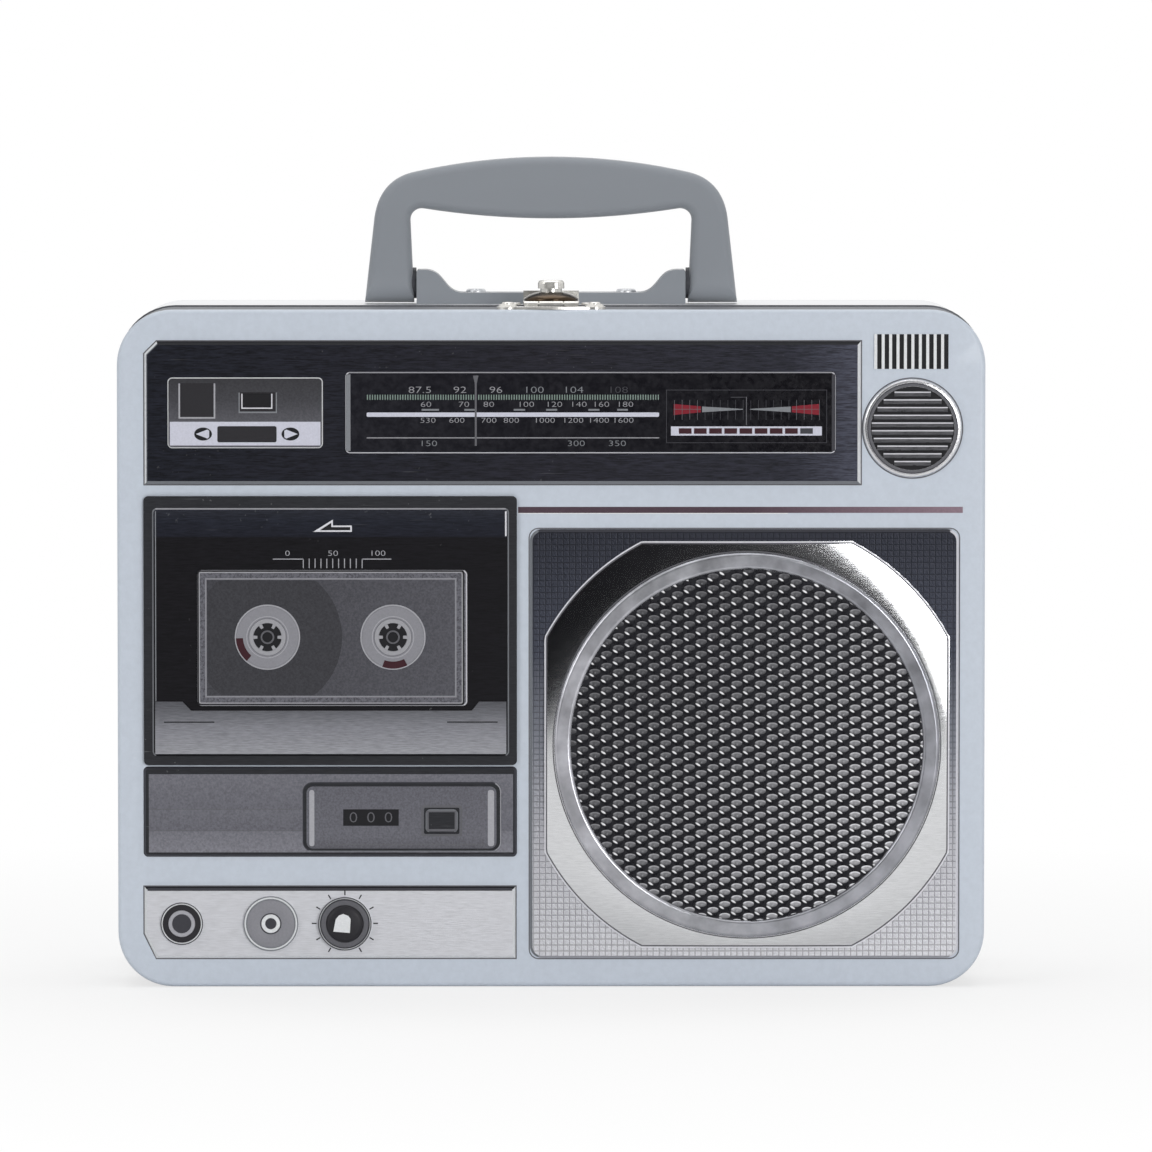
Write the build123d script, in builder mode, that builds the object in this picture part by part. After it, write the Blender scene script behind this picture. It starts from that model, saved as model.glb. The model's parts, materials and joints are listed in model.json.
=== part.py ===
"""Hinged tin carrying case with an embossed front, a folding handle and a top hasp.

Millimetres. X runs along the width, the front faces -Y, Z is up.
The origin is the middle of the bottom.
"""

import os

from build123d import *

os.makedirs("parts", exist_ok=True)

# Case shell
case_width = 220.0
case_height = 172.0
case_corner = 14.0
lid_depth = 26.0
base_depth = 55.8
sheet = 0.45
panel_flange = 2.2
panel_edge = 1.2
flange_lap = 0.9
lap_root = 0.4
neck_reach = 4.0
neck_root = 2.2
neck_gap = 0.3
neck_start = 18.0
hem_proud = 0.4
hem_length = 1.4
hem_start = 8.0
split_gap = 0.2
seat = 0.02

# Heights of the embossed front, each above the layer it stands on
dial_rise = 1.2
dial_window_rise = 0.4
program_rise = 0.35
vent_rise = 0.6
tuner_rise = 1.2
tuner_sink = 0.6
bay_rise = 0.9
door_rise = 0.5
cassette_rise = 0.5
sill_rise = 0.25
counter_rise = 0.9
counter_window_rise = 0.4
counter_button_rise = 0.5
jack_panel_rise = 0.9
jack_rise = 0.7
knob_rise = 1.2
speaker_plate_rise = 0.9
speaker_step_rise = 0.3
speaker_slope_rise = 1.0
speaker_ring_rise = 1.0
speaker_grille_sink = 1.0
bevel_angle = 35.0

# Dial panel and what stands on it
dial_width = 181.4
dial_height = 36.2
dial_from_left = 97.7
dial_from_top = 26.1
dial_chamfer = 3.1
dial_window_width = 124.1
dial_window_height = 20.6
dial_window_from_left = 119.95
dial_window_from_top = 26.0
program_width = 39.3
program_height = 17.9
program_from_left = 32.55
program_from_top = 26.05
small_corner = 1.2

# Vents and tuning disc
vent_ribs = 10
vent_pitch = 1.88
vent_rib = 0.75
vent_height = 8.8
vent_from_right = 19.4
vent_from_top = 10.6
tuner_from_right = 18.5
tuner_from_top = 30.0
tuner_radius = 12.5
tuner_disc_radius = 10.6
tuner_round = 0.7

# Cassette bay
bay_width = 94.6
bay_height = 68.3
bay_from_left = 54.0
bay_z = 90.65
door_width = 90.4
door_height = 63.0
door_from_left = 54.1
door_z = 90.3
cassette_width = 68.4
cassette_height = 34.5
cassette_from_left = 54.5
cassette_z = 88.85
sill_width = 86.0
sill_height = 9.6
sill_z = 64.8

# Counter panel
counter_width = 94.8
counter_height = 23.0
counter_from_left = 53.9
counter_z = 44.6
counter_window_width = 50.4
counter_window_height = 17.7
counter_window_from_left = 72.1
counter_window_z = 43.35
counter_window_corner = 2.5
counter_button_width = 8.2
counter_button_height = 5.9
counter_button_from_left = 82.2
counter_button_z = 42.35

# Jack panel
jack_panel_width = 94.2
jack_panel_height = 18.2
jack_panel_from_left = 53.8
jack_panel_z = 16.4
jack_panel_chamfer_x = 3.0
jack_panel_chamfer_z = 6.3
phones_from_left = 16.2
phones_radius = 5.4
mic_from_left = 38.8
mic_radius = 7.0
volume_from_left = 57.6
volume_radius = 6.8
jack_z = 16.2

# Speaker
speaker_width = 108.7
speaker_height = 109.1
speaker_from_right = 61.05
speaker_z = 61.85
speaker_corner = 3.0
frame_width = 102.7
frame_height = 103.4
frame_radius = 58.2
ring_from_right = 60.4
ring_z = 61.7
ring_outer = 48.9
ring_inner = 44.6
ring_round = 0.9

# Hinges along the bottom
hinge_x = 62.0
knuckle_count = 5
knuckle_pitch = 8.0
knuckle_gap = 0.3
knuckle_radius = 1.0
hinge_axis_z = 1.1
hinge_pin_radius = 0.55
hinge_run = 0.06
hinge_leaf = 0.45
hinge_leaf_reach = 11.0
hinge_clear = 1.7

# Handle and its bracket
handle_y = 14.0
bracket_half = 34.7
bracket_depth = 11.0
bracket_plate = 2.9
ear_top = 8.8
ear_flat = 32.6
ear_foot = 22.6
ear_round = 0.6
pivot_height = 5.3
peg_radius = 2.0
peg_run = 0.08
peg_reach = 4.5
peg_end_gap = 0.5
handle_depth = 10.0
handle_round = 2.2
leg_foot_x = 48.7
leg_shoulder_x = 45.6
leg_shoulder_z = 22.3
crown_start_x = 35.3
crown_start_z = 34.0
crown_z = 37.9
opening_foot_x = 35.1
opening_head_x = 36.5
opening_end_z = 25.2
opening_belly_z = 22.0
opening_corner = 3.0
handle_rivet_x = 19.4
rivet_head_radius = 2.55
rivet_head_height = 0.9
rivet_shank_radius = 1.5
rivet_tail_radius = 2.2
rivet_tail_height = 0.7
rivet_slip = 0.05
washer_radius = 4.0
washer_thickness = 0.8

# Hasp latch on the top wall
leaf_half = 11.0
leaf_thickness = 0.6
leaf_front = 0.6
leaf_depth = 8.6
leaf_bow = 1.6
leaf_lobe = 2.8
leaf_lobe_in = 2.9
leaf_rivet_x = 11.0
leaf_boss_radius = 2.5
leaf_boss_height = 1.3
small_rivet_radius = 0.9
small_rivet_head = 1.5
small_rivet_head_height = 0.5
small_rivet_tail_height = 0.5
head_round_share = 0.8
latch_axis_back = 12.0
latch_axis_height = 1.0
latch_knuckle_radius = 0.8
latch_pin_radius = 0.4
latch_run = 0.06
latch_knuckle_half = 3.0
latch_leaf_knuckle = 3.6
latch_knuckle_gap = 0.3
hasp_half = 7.1
hasp_thickness = 0.6
hasp_lift = 1.0
hasp_reach = 21.0
hasp_lip = 2.3
dome_radius = 6.9
dome_height = 2.3
dome_edge = 0.55
dome_shoulder_radius = 5.4
dome_shoulder = 1.55
dome_crown_radius = 3.0
dome_back = 9.0
knob_neck_radius = 2.8
knob_neck_height = 0.9
knob_half = 3.4
knob_depth = 5.6
knob_thickness = 2.1
knob_edge = 0.8
knob_corner = 2.5
hasp_hole_radius = 1.9
catch_half = 11.0
catch_depth = 6.4
catch_thickness = 0.4
catch_back = 4.2
catch_bump_radius = 1.5
catch_bump_height = 0.4
catch_rivet_x = 9.2

# Planes of the shell, worked out from the sizes above
frame_level = speaker_plate_rise + speaker_step_rise
ring_level = frame_level + speaker_slope_rise
ring_crown = ring_level + speaker_ring_rise
overall_depth = ring_crown + lid_depth + base_depth
face_y = ring_crown - overall_depth / 2
split_y = face_y + lid_depth
back_y = split_y + base_depth
case_mid = case_height / 2

# Places on the front, worked out from the edges of the case
left = -case_width / 2
right = case_width / 2
dial_x = left + dial_from_left
dial_z = case_height - dial_from_top
dial_window_x = left + dial_window_from_left
dial_window_z = case_height - dial_window_from_top
program_x = left + program_from_left
program_z = case_height - program_from_top
vent_x = right - vent_from_right
vent_z = case_height - vent_from_top
tuner_x = right - tuner_from_right
tuner_z = case_height - tuner_from_top
bay_x = left + bay_from_left
door_x = left + door_from_left
cassette_x = left + cassette_from_left
counter_x = left + counter_from_left
counter_window_x = left + counter_window_from_left
counter_button_x = left + counter_button_from_left
jack_panel_x = left + jack_panel_from_left
phones_x = left + phones_from_left
mic_x = left + mic_from_left
volume_x = left + volume_from_left
speaker_x = right - speaker_from_right
ring_x = right - ring_from_right

# Axes of the moving pieces
pivot_z = case_height + pivot_height
latch_axis_y = face_y + latch_axis_back
latch_axis_z = case_height + latch_axis_height
catch_y = split_y + catch_back


def case_outline(y, inset):
    """Outline of the case, drawn in smaller by inset, on the upright plane at y."""
    with BuildSketch(Plane.XZ.offset(-y)) as outline:
        with Locations((0, case_mid)):
            RectangleRounded(case_width - 2 * inset, case_height - 2 * inset, case_corner - inset)
    return outline.sketch


def tube(front, rear, inset, thickness):
    """Band that follows the case outline from front to rear."""
    with BuildPart() as band:
        extrude(case_outline(rear, inset), amount=rear - front)
        extrude(case_outline(rear, inset + thickness), amount=rear - front, mode=Mode.SUBTRACT)
    return band.part


def front_dish(inset):
    """Body of the front sheet without embossing, drawn in by inset on every side."""
    with BuildPart() as dish:
        extrude(case_outline(face_y + panel_flange, inset), amount=panel_flange - inset)
        fillet(dish.faces().sort_by(Axis.Y)[0].edges(), panel_edge - inset)
    return dish.part


def rear_dish(inset):
    """Body of the rear sheet, drawn in by inset on every side."""
    with BuildPart() as dish:
        extrude(case_outline(back_y - inset, inset), amount=panel_flange - inset)
        fillet(dish.faces().sort_by(Axis.Y)[-1].edges(), panel_edge - inset)
    return dish.part


def front_plane(level, inset):
    """Upright plane a level in front of the face, moved inwards by inset."""
    return Plane.XZ.offset(level - inset - face_y)


def pad(x, z, width, height, corner, level, inset):
    """Rounded rectangle on the front, drawn in by inset."""
    with BuildSketch(front_plane(level, inset)) as shape:
        with Locations((x, z)):
            RectangleRounded(width - 2 * inset, height - 2 * inset, corner)
    return shape.sketch


def disc(x, z, radius, level, inset):
    """Round form on the front, drawn in by inset."""
    with BuildSketch(front_plane(level, inset)) as shape:
        with Locations((x, z)):
            Circle(radius - inset)
    return shape.sketch


def dial_outline(inset):
    """Dial panel with its upper left corner cut off."""
    with BuildSketch(front_plane(0, inset)) as shape:
        with Locations((dial_x, dial_z)):
            Rectangle(dial_width - 2 * inset, dial_height - 2 * inset)
        chamfer(shape.vertices().group_by(Axis.Y)[-1].sort_by(Axis.X)[0], dial_chamfer)
    return shape.sketch


def jack_outline(inset):
    """Jack panel with its lower left corner cut off."""
    with BuildSketch(front_plane(0, inset)) as shape:
        with Locations((jack_panel_x, jack_panel_z)):
            Rectangle(jack_panel_width - 2 * inset, jack_panel_height - 2 * inset)
        side = jack_panel_x - jack_panel_width / 2 + inset
        bottom = jack_panel_z - jack_panel_height / 2 + inset
        with BuildLine():
            Polyline(
                (side, bottom),
                (side + jack_panel_chamfer_x, bottom),
                (side, bottom + jack_panel_chamfer_z),
                close=True,
            )
        make_face(mode=Mode.SUBTRACT)
    return shape.sketch


def frame_outline(level, inset):
    """Speaker frame, a circle cut flat on four sides."""
    with BuildSketch(front_plane(level, inset)) as shape:
        with Locations((ring_x, ring_z)):
            Circle(frame_radius - inset)
            Rectangle(frame_width - 2 * inset, frame_height - 2 * inset, mode=Mode.INTERSECT)
    return shape.sketch


def tuner_form(inset):
    """Tuning disc: a rounded rim round a sunk disc."""
    with BuildPart() as tuner:
        extrude(disc(tuner_x, tuner_z, tuner_radius, 0, inset), amount=tuner_rise)
        fillet(tuner.faces().sort_by(Axis.Y)[0].edges(), tuner_round - inset)
        with BuildSketch(front_plane(tuner_rise - tuner_sink, inset)):
            with Locations((tuner_x, tuner_z)):
                Circle(tuner_disc_radius + inset)
        extrude(amount=tuner_rise, mode=Mode.SUBTRACT)
    return tuner.part


def speaker_form(inset):
    """Speaker: a coned frame with four flats, a rounded ring and a sunk grille."""
    with BuildPart() as speaker:
        outer_edge = disc(ring_x, ring_z, frame_radius, frame_level, inset)
        inner_edge = disc(ring_x, ring_z, ring_outer, ring_level, inset)
        loft([outer_edge.face(), inner_edge.face()])
        extrude(frame_outline(frame_level, inset), amount=speaker_slope_rise, mode=Mode.INTERSECT)
        extrude(frame_outline(speaker_plate_rise, inset), amount=speaker_step_rise)
        extrude(inner_edge, amount=speaker_ring_rise)
        fillet(speaker.faces().sort_by(Axis.Y)[0].edges(), ring_round - inset)
        with BuildSketch(front_plane(ring_crown - speaker_grille_sink, inset)):
            with Locations((ring_x, ring_z)):
                Circle(ring_inner + inset)
        extrude(amount=ring_crown, mode=Mode.SUBTRACT)
        crown_edges = speaker.faces().sort_by(Axis.Y)[0].edges()
        fillet(crown_edges.sort_by(SortBy.RADIUS)[0], ring_round - inset)
    return speaker.part


def front_forms(inset):
    """All raised forms of the front; with inset they are the hollows behind them."""
    tuner = tuner_form(inset)
    speaker = speaker_form(inset)
    with BuildPart() as forms:
        add(tuner)
        add(speaker)
        extrude(dial_outline(inset), amount=dial_rise, taper=bevel_angle)
        window = pad(
            dial_window_x, dial_window_z, dial_window_width, dial_window_height, small_corner, dial_rise, inset
        )
        extrude(window, amount=dial_window_rise, taper=bevel_angle)
        program = pad(program_x, program_z, program_width, program_height, small_corner, dial_rise, inset)
        extrude(program, amount=program_rise, taper=bevel_angle)

        extrude(pad(bay_x, bay_z, bay_width, bay_height, small_corner, 0, inset), amount=bay_rise)
        door = pad(door_x, door_z, door_width, door_height, small_corner, bay_rise, inset)
        extrude(door, amount=door_rise, taper=bevel_angle)
        door_level = bay_rise + door_rise
        cassette = pad(
            cassette_x, cassette_z, cassette_width, cassette_height, small_corner, door_level, inset
        )
        extrude(cassette, amount=cassette_rise, taper=bevel_angle)
        sill = pad(door_x, sill_z, sill_width, sill_height, small_corner, door_level, inset)
        extrude(sill, amount=sill_rise, taper=bevel_angle)

        counter = pad(counter_x, counter_z, counter_width, counter_height, small_corner, 0, inset)
        extrude(counter, amount=counter_rise, taper=bevel_angle)
        counter_window = pad(
            counter_window_x,
            counter_window_z,
            counter_window_width,
            counter_window_height,
            counter_window_corner,
            counter_rise,
            inset,
        )
        extrude(counter_window, amount=counter_window_rise, taper=bevel_angle)
        button = pad(
            counter_button_x,
            counter_button_z,
            counter_button_width,
            counter_button_height,
            small_corner,
            counter_rise + counter_window_rise,
            inset,
        )
        extrude(button, amount=counter_button_rise, taper=bevel_angle)

        extrude(jack_outline(inset), amount=jack_panel_rise, taper=bevel_angle)
        extrude(disc(phones_x, jack_z, phones_radius, jack_panel_rise, inset), amount=jack_rise)
        extrude(disc(mic_x, jack_z, mic_radius, jack_panel_rise, inset), amount=jack_rise)
        extrude(disc(volume_x, jack_z, volume_radius, jack_panel_rise, inset), amount=knob_rise)

        plate = pad(speaker_x, speaker_z, speaker_width, speaker_height, speaker_corner, 0, inset)
        extrude(plate, amount=speaker_plate_rise, taper=bevel_angle)
    return forms.part


# Front sheet: a dish with all the embossing pressed out of it
front_outer = front_dish(0)
front_inner = front_dish(sheet)
raised_outer = front_forms(0)
raised_inner = front_forms(sheet)
with BuildPart() as lid_face_panel:
    add(front_outer)
    add(raised_outer)
    add(front_inner, mode=Mode.SUBTRACT)
    add(raised_inner, mode=Mode.SUBTRACT)
    # Ribs of the vents, pressed solid
    with BuildSketch(front_plane(-seat, 0)):
        with Locations((vent_x, vent_z)):
            with GridLocations(vent_pitch, vent_height, vent_ribs, 1):
                Rectangle(vent_rib, vent_height)
    extrude(amount=vent_rise + seat)
lid_face_panel.part.label = "lid_face_panel"
export_step(lid_face_panel.part, "parts/lid_face_panel.step")


# Band of the lid: wall, lap inside the front sheet, rolled rear edge
lid_wall = tube(face_y + panel_flange, split_y - split_gap, 0, sheet)
lid_lap = tube(face_y + panel_flange - flange_lap, face_y + panel_flange + lap_root, sheet, sheet)
lid_hem = tube(split_y - split_gap - hem_length, split_y - split_gap, -hem_proud, hem_proud)
with BuildPart() as lid_band:
    add(lid_hem)
    # The rolled edge leaves the bottom free
    with BuildSketch(Plane.XY):
        Rectangle(case_width * 2, overall_depth)
    extrude(amount=hem_start, mode=Mode.SUBTRACT)
    with BuildSketch(Plane.XY):
        Rectangle(case_width * 2, overall_depth)
    extrude(amount=-hem_start, mode=Mode.SUBTRACT)
    add(lid_wall)
    add(lid_lap)
    # Room for the hinge along the bottom edge
    with BuildSketch(Plane.XY):
        with Locations((0, split_y)):
            Rectangle(case_width, 2 * hinge_clear)
    extrude(amount=hinge_axis_z + knuckle_radius, mode=Mode.SUBTRACT)
    # Holes of the latch leaf
    with BuildSketch(Plane.XY.offset(case_height - 2 * sheet)):
        with Locations((0, face_y + leaf_front + leaf_depth / 2)):
            with GridLocations(2 * leaf_rivet_x, 1, 2, 1):
                Circle(small_rivet_radius + rivet_slip)
    extrude(amount=4 * sheet, mode=Mode.SUBTRACT)
lid_band.part.label = "lid_band"
export_step(lid_band.part, "parts/lid_band.step")


# Band of the base: wall, lap inside the rear sheet, and a neck that enters the lid
base_wall = tube(split_y, back_y - panel_flange, 0, sheet)
base_lap = tube(back_y - panel_flange - lap_root, back_y - panel_flange + flange_lap, sheet, sheet)
neck = tube(split_y - neck_reach, split_y + neck_root, sheet + neck_gap, sheet)
neck_joint = tube(split_y + sheet, split_y + neck_root, sheet, neck_gap)
with BuildPart() as base_band:
    add(neck)
    add(neck_joint)
    # The neck runs along the sides and the top only
    with BuildSketch(Plane.XY):
        Rectangle(case_width, overall_depth)
    extrude(amount=neck_start, mode=Mode.SUBTRACT)
    add(base_wall)
    add(base_lap)
    # Room for the hinge along the bottom edge
    with BuildSketch(Plane.XY):
        with Locations((0, split_y)):
            Rectangle(case_width, 2 * hinge_clear)
    extrude(amount=hinge_axis_z + knuckle_radius, mode=Mode.SUBTRACT)
    # Holes of the handle and of the catch
    with BuildSketch(Plane.XY.offset(case_height - 2 * sheet)):
        with Locations((0, handle_y)):
            with GridLocations(2 * handle_rivet_x, 1, 2, 1):
                Circle(rivet_shank_radius + rivet_slip)
        with Locations((0, catch_y)):
            with GridLocations(2 * catch_rivet_x, 1, 2, 1):
                Circle(small_rivet_radius + rivet_slip)
    extrude(amount=4 * sheet, mode=Mode.SUBTRACT)
base_band.part.label = "base_band"
export_step(base_band.part, "parts/base_band.step")


# Rear sheet
rear_outer = rear_dish(0)
rear_inner = rear_dish(sheet)
with BuildPart() as back_panel:
    add(rear_outer)
    add(rear_inner, mode=Mode.SUBTRACT)
back_panel.part.label = "back_panel"
export_step(back_panel.part, "parts/back_panel.step")


def hinge_leaves(side, first):
    """Two hinge leaves; side is -1 for the lid and 1 for the base, first is their first knuckle."""
    length = knuckle_count * knuckle_pitch
    with BuildPart() as leaves:
        with BuildSketch(Plane.XY.offset(sheet)):
            with Locations((0, split_y + side * (hinge_clear + hinge_leaf_reach / 2))):
                with GridLocations(2 * hinge_x, 1, 2, 1):
                    Rectangle(length, hinge_leaf_reach)
        extrude(amount=hinge_leaf)
        for number in range(first, knuckle_count, 2):
            offset_x = (number + 0.5) * knuckle_pitch - length / 2
            width = knuckle_pitch - knuckle_gap
            with BuildSketch(Plane.XY.offset(sheet)):
                with Locations((offset_x, split_y + side * hinge_clear / 2)):
                    with GridLocations(2 * hinge_x, 1, 2, 1):
                        Rectangle(width, hinge_clear)
            extrude(amount=hinge_leaf)
            with BuildSketch(Plane.YZ.offset(offset_x - hinge_x - width / 2)):
                with Locations((split_y, hinge_axis_z)):
                    Circle(knuckle_radius)
            extrude(amount=width)
            with BuildSketch(Plane.YZ.offset(offset_x + hinge_x - width / 2)):
                with Locations((split_y, hinge_axis_z)):
                    Circle(knuckle_radius)
            extrude(amount=width)
        with BuildSketch(Plane.YZ):
            with Locations((split_y, hinge_axis_z)):
                Circle(hinge_pin_radius + hinge_run)
        extrude(amount=case_width / 2, both=True, mode=Mode.SUBTRACT)
    return leaves.part


# Hinge leaves of the lid, with the second and fourth knuckles
lid_leaf_pair = hinge_leaves(-1, 1)
with BuildPart() as lid_hinge_leaves:
    add(lid_leaf_pair)
lid_hinge_leaves.part.label = "lid_hinge_leaves"
export_step(lid_hinge_leaves.part, "parts/lid_hinge_leaves.step")


# Hinge leaves of the base, with the first, third and fifth knuckles
base_leaf_pair = hinge_leaves(1, 0)
with BuildPart() as base_hinge_leaves:
    add(base_leaf_pair)
base_hinge_leaves.part.label = "base_hinge_leaves"
export_step(base_hinge_leaves.part, "parts/base_hinge_leaves.step")


# Hinge pins
with BuildPart() as hinge_pins:
    for side in (-1, 1):
        start = side * hinge_x - knuckle_count * knuckle_pitch / 2
        with BuildSketch(Plane.YZ.offset(start)):
            with Locations((split_y, hinge_axis_z)):
                Circle(hinge_pin_radius)
        extrude(amount=knuckle_count * knuckle_pitch)
hinge_pins.part.label = "hinge_pins"
export_step(hinge_pins.part, "parts/hinge_pins.step")


# Handle bracket: a plate with an ear at each end
plate_top = case_height + bracket_plate
ear_z = case_height + ear_top
with BuildPart() as handle_base:
    with BuildSketch(Plane.XZ.offset(-(handle_y + bracket_depth / 2))):
        with BuildLine():
            Polyline(
                (-bracket_half, ear_z),
                (-bracket_half, case_height),
                (bracket_half, case_height),
                (bracket_half, ear_z),
                (ear_flat, ear_z),
            )
            Spline((ear_flat, ear_z), (ear_foot, plate_top), tangents=((-1, 0), (-1, 0)))
            Line((ear_foot, plate_top), (-ear_foot, plate_top))
            Spline((-ear_foot, plate_top), (-ear_flat, ear_z), tangents=((-1, 0), (-1, 0)))
            Line((-ear_flat, ear_z), (-bracket_half, ear_z))
        make_face()
    extrude(amount=bracket_depth)
    fillet(handle_base.edges().filter_by(Axis.Y).group_by(Axis.Z)[-1].sort_by(Axis.X)[0], ear_round)
    fillet(handle_base.edges().filter_by(Axis.Y).group_by(Axis.Z)[-1].sort_by(Axis.X)[-1], ear_round)
    # Blind holes for the pegs of the handle
    for side in (-1, 1):
        with BuildSketch(Plane.YZ.offset(side * bracket_half)):
            with Locations((handle_y, pivot_z)):
                Circle(peg_radius + peg_run)
        extrude(amount=-side * (peg_reach + peg_end_gap), mode=Mode.SUBTRACT)
    # Holes for the rivets
    with BuildSketch(Plane.XY.offset(case_height)):
        with Locations((0, handle_y)):
            with GridLocations(2 * handle_rivet_x, 1, 2, 1):
                Circle(rivet_shank_radius + rivet_slip)
    extrude(amount=bracket_plate, mode=Mode.SUBTRACT)
handle_base.part.label = "handle_base"
export_step(handle_base.part, "parts/handle_base.step")


# Washers inside the case, under the rivets of the handle
wall_inside = case_height - sheet
with BuildPart() as handle_washers:
    with BuildSketch(Plane.XY.offset(wall_inside)):
        with Locations((0, handle_y)):
            with GridLocations(2 * handle_rivet_x, 1, 2, 1):
                Circle(washer_radius)
                Circle(rivet_shank_radius + rivet_slip, mode=Mode.SUBTRACT)
    extrude(amount=-washer_thickness)
handle_washers.part.label = "handle_washers"
export_step(handle_washers.part, "parts/handle_washers.step")


def rivets(x, y, top, bottom, shank, head, head_height, tail, tail_height):
    """Two rivets at x and -x with a rounded head above top and a flat tail below bottom."""
    with BuildPart() as pair:
        with BuildSketch(Plane.XY.offset(bottom)):
            with Locations((-x, y), (x, y)):
                Circle(shank)
        extrude(amount=top - bottom)
        with BuildSketch(Plane.XY.offset(top)):
            with Locations((-x, y), (x, y)):
                Circle(head)
        extrude(amount=head_height)
        fillet(pair.faces().group_by(Axis.Z)[-1].edges(), head_height * head_round_share)
        with BuildSketch(Plane.XY.offset(bottom)):
            with Locations((-x, y), (x, y)):
                Circle(tail)
        extrude(amount=-tail_height)
    return pair.part


# Rivets of the handle
handle_rivet_pair = rivets(
    handle_rivet_x,
    handle_y,
    plate_top,
    wall_inside - washer_thickness,
    rivet_shank_radius,
    rivet_head_radius,
    rivet_head_height,
    rivet_tail_radius,
    rivet_tail_height,
)
with BuildPart() as handle_rivets:
    add(handle_rivet_pair)
handle_rivets.part.label = "handle_rivets"
export_step(handle_rivets.part, "parts/handle_rivets.step")


# Carrying handle: a flat loop with rounded edges, round feet and two pegs
foot_z = case_height - pivot_height
with BuildPart() as handle:
    with BuildSketch(Plane.XZ.offset(-(handle_y + handle_depth / 2))):
        with BuildLine():
            Line((leg_foot_x, foot_z), (leg_shoulder_x, case_height + leg_shoulder_z))
            Spline(
                (leg_shoulder_x, case_height + leg_shoulder_z),
                (crown_start_x, case_height + crown_start_z),
                tangents=((leg_shoulder_x - leg_foot_x, leg_shoulder_z), (-1, 0.22)),
            )
            ThreePointArc(
                (crown_start_x, case_height + crown_start_z),
                (0, case_height + crown_z),
                (-crown_start_x, case_height + crown_start_z),
            )
            Spline(
                (-crown_start_x, case_height + crown_start_z),
                (-leg_shoulder_x, case_height + leg_shoulder_z),
                tangents=((-1, -0.22), (leg_shoulder_x - leg_foot_x, -leg_shoulder_z)),
            )
            Line((-leg_shoulder_x, case_height + leg_shoulder_z), (-leg_foot_x, foot_z))
            Line((-leg_foot_x, foot_z), (leg_foot_x, foot_z))
        make_face()
    extrude(amount=handle_depth)
    with BuildSketch(Plane.XZ.offset(-(handle_y + handle_depth / 2))) as finger_opening:
        with BuildLine():
            Line((opening_foot_x, foot_z), (opening_head_x, case_height + opening_end_z))
            ThreePointArc(
                (opening_head_x, case_height + opening_end_z),
                (0, case_height + opening_belly_z),
                (-opening_head_x, case_height + opening_end_z),
            )
            Line((-opening_head_x, case_height + opening_end_z), (-opening_foot_x, foot_z))
            Line((-opening_foot_x, foot_z), (opening_foot_x, foot_z))
        make_face()
        fillet(finger_opening.vertices().group_by(Axis.Y)[-1], opening_corner)
    extrude(amount=handle_depth, mode=Mode.SUBTRACT)
    fillet(handle.faces().filter_by(Axis.Y).edges(), handle_round)
    # Round feet, so that the legs turn clear of the case
    with BuildSketch(Plane.YZ) as side_view:
        with Locations((handle_y, pivot_z)):
            Circle(handle_depth / 2)
        with Locations((handle_y, pivot_z + crown_z / 2)):
            Rectangle(handle_depth, crown_z)
    extrude(amount=case_width / 2, both=True, mode=Mode.INTERSECT)
    # Pegs into the ears of the bracket
    for side in (-1, 1):
        with BuildSketch(Plane.YZ.offset(side * (bracket_half - peg_reach))):
            with Locations((handle_y, pivot_z)):
                Circle(peg_radius)
        extrude(amount=side * (peg_reach + leg_foot_x - bracket_half - handle_round))
handle.part.label = "handle"
export_step(handle.part, "parts/handle.step")


# Latch leaf on the lid: a plate with a bowed front edge, lobed ends and two knuckles
leaf_y = face_y + leaf_front + leaf_depth / 2
leaf_top = case_height + leaf_thickness
knuckle_start = latch_knuckle_half + latch_knuckle_gap
with BuildPart() as latch_leaf:
    with BuildSketch(Plane.XY.offset(case_height)):
        with BuildLine():
            front = leaf_y - leaf_depth / 2
            rear = leaf_y + leaf_depth / 2
            ThreePointArc((-leaf_half, front + leaf_bow), (0, front), (leaf_half, front + leaf_bow))
            Polyline(
                (leaf_half, front + leaf_bow),
                (leaf_half, rear),
                (-leaf_half, rear),
                (-leaf_half, front + leaf_bow),
            )
        make_face()
        with Locations((0, leaf_y + leaf_bow / 2)):
            with GridLocations(2 * leaf_half, leaf_lobe_in, 2, 2):
                Circle(leaf_lobe)
    extrude(amount=leaf_thickness)
    # Pressed bosses round the rivets
    with BuildSketch(Plane.XY.offset(leaf_top)):
        with Locations((-leaf_rivet_x, leaf_y), (leaf_rivet_x, leaf_y)):
            Circle(leaf_boss_radius)
    extrude(amount=leaf_boss_height - leaf_thickness, taper=bevel_angle)
    # Knuckles and the tongues that carry them
    for side in (-1, 1):
        middle = side * (knuckle_start + latch_leaf_knuckle / 2)
        with BuildSketch(Plane.XY.offset(case_height)):
            with Locations((middle, (rear + latch_axis_y) / 2)):
                Rectangle(latch_leaf_knuckle, latch_axis_y - rear)
        extrude(amount=leaf_thickness)
        with BuildSketch(Plane.YZ.offset(middle - latch_leaf_knuckle / 2)):
            with Locations((latch_axis_y, latch_axis_z)):
                Circle(latch_knuckle_radius)
            with Locations((latch_axis_y, (case_height + latch_axis_z) / 2)):
                Rectangle(2 * latch_knuckle_radius, latch_axis_height)
        extrude(amount=latch_leaf_knuckle)
    with BuildSketch(Plane.YZ):
        with Locations((latch_axis_y, latch_axis_z)):
            Circle(latch_pin_radius + latch_run)
    extrude(amount=leaf_half, both=True, mode=Mode.SUBTRACT)
    # Holes of the rivets
    with BuildSketch(Plane.XY.offset(case_height)):
        with Locations((-leaf_rivet_x, leaf_y), (leaf_rivet_x, leaf_y)):
            Circle(small_rivet_radius + rivet_slip)
    extrude(amount=leaf_boss_height, mode=Mode.SUBTRACT)
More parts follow.
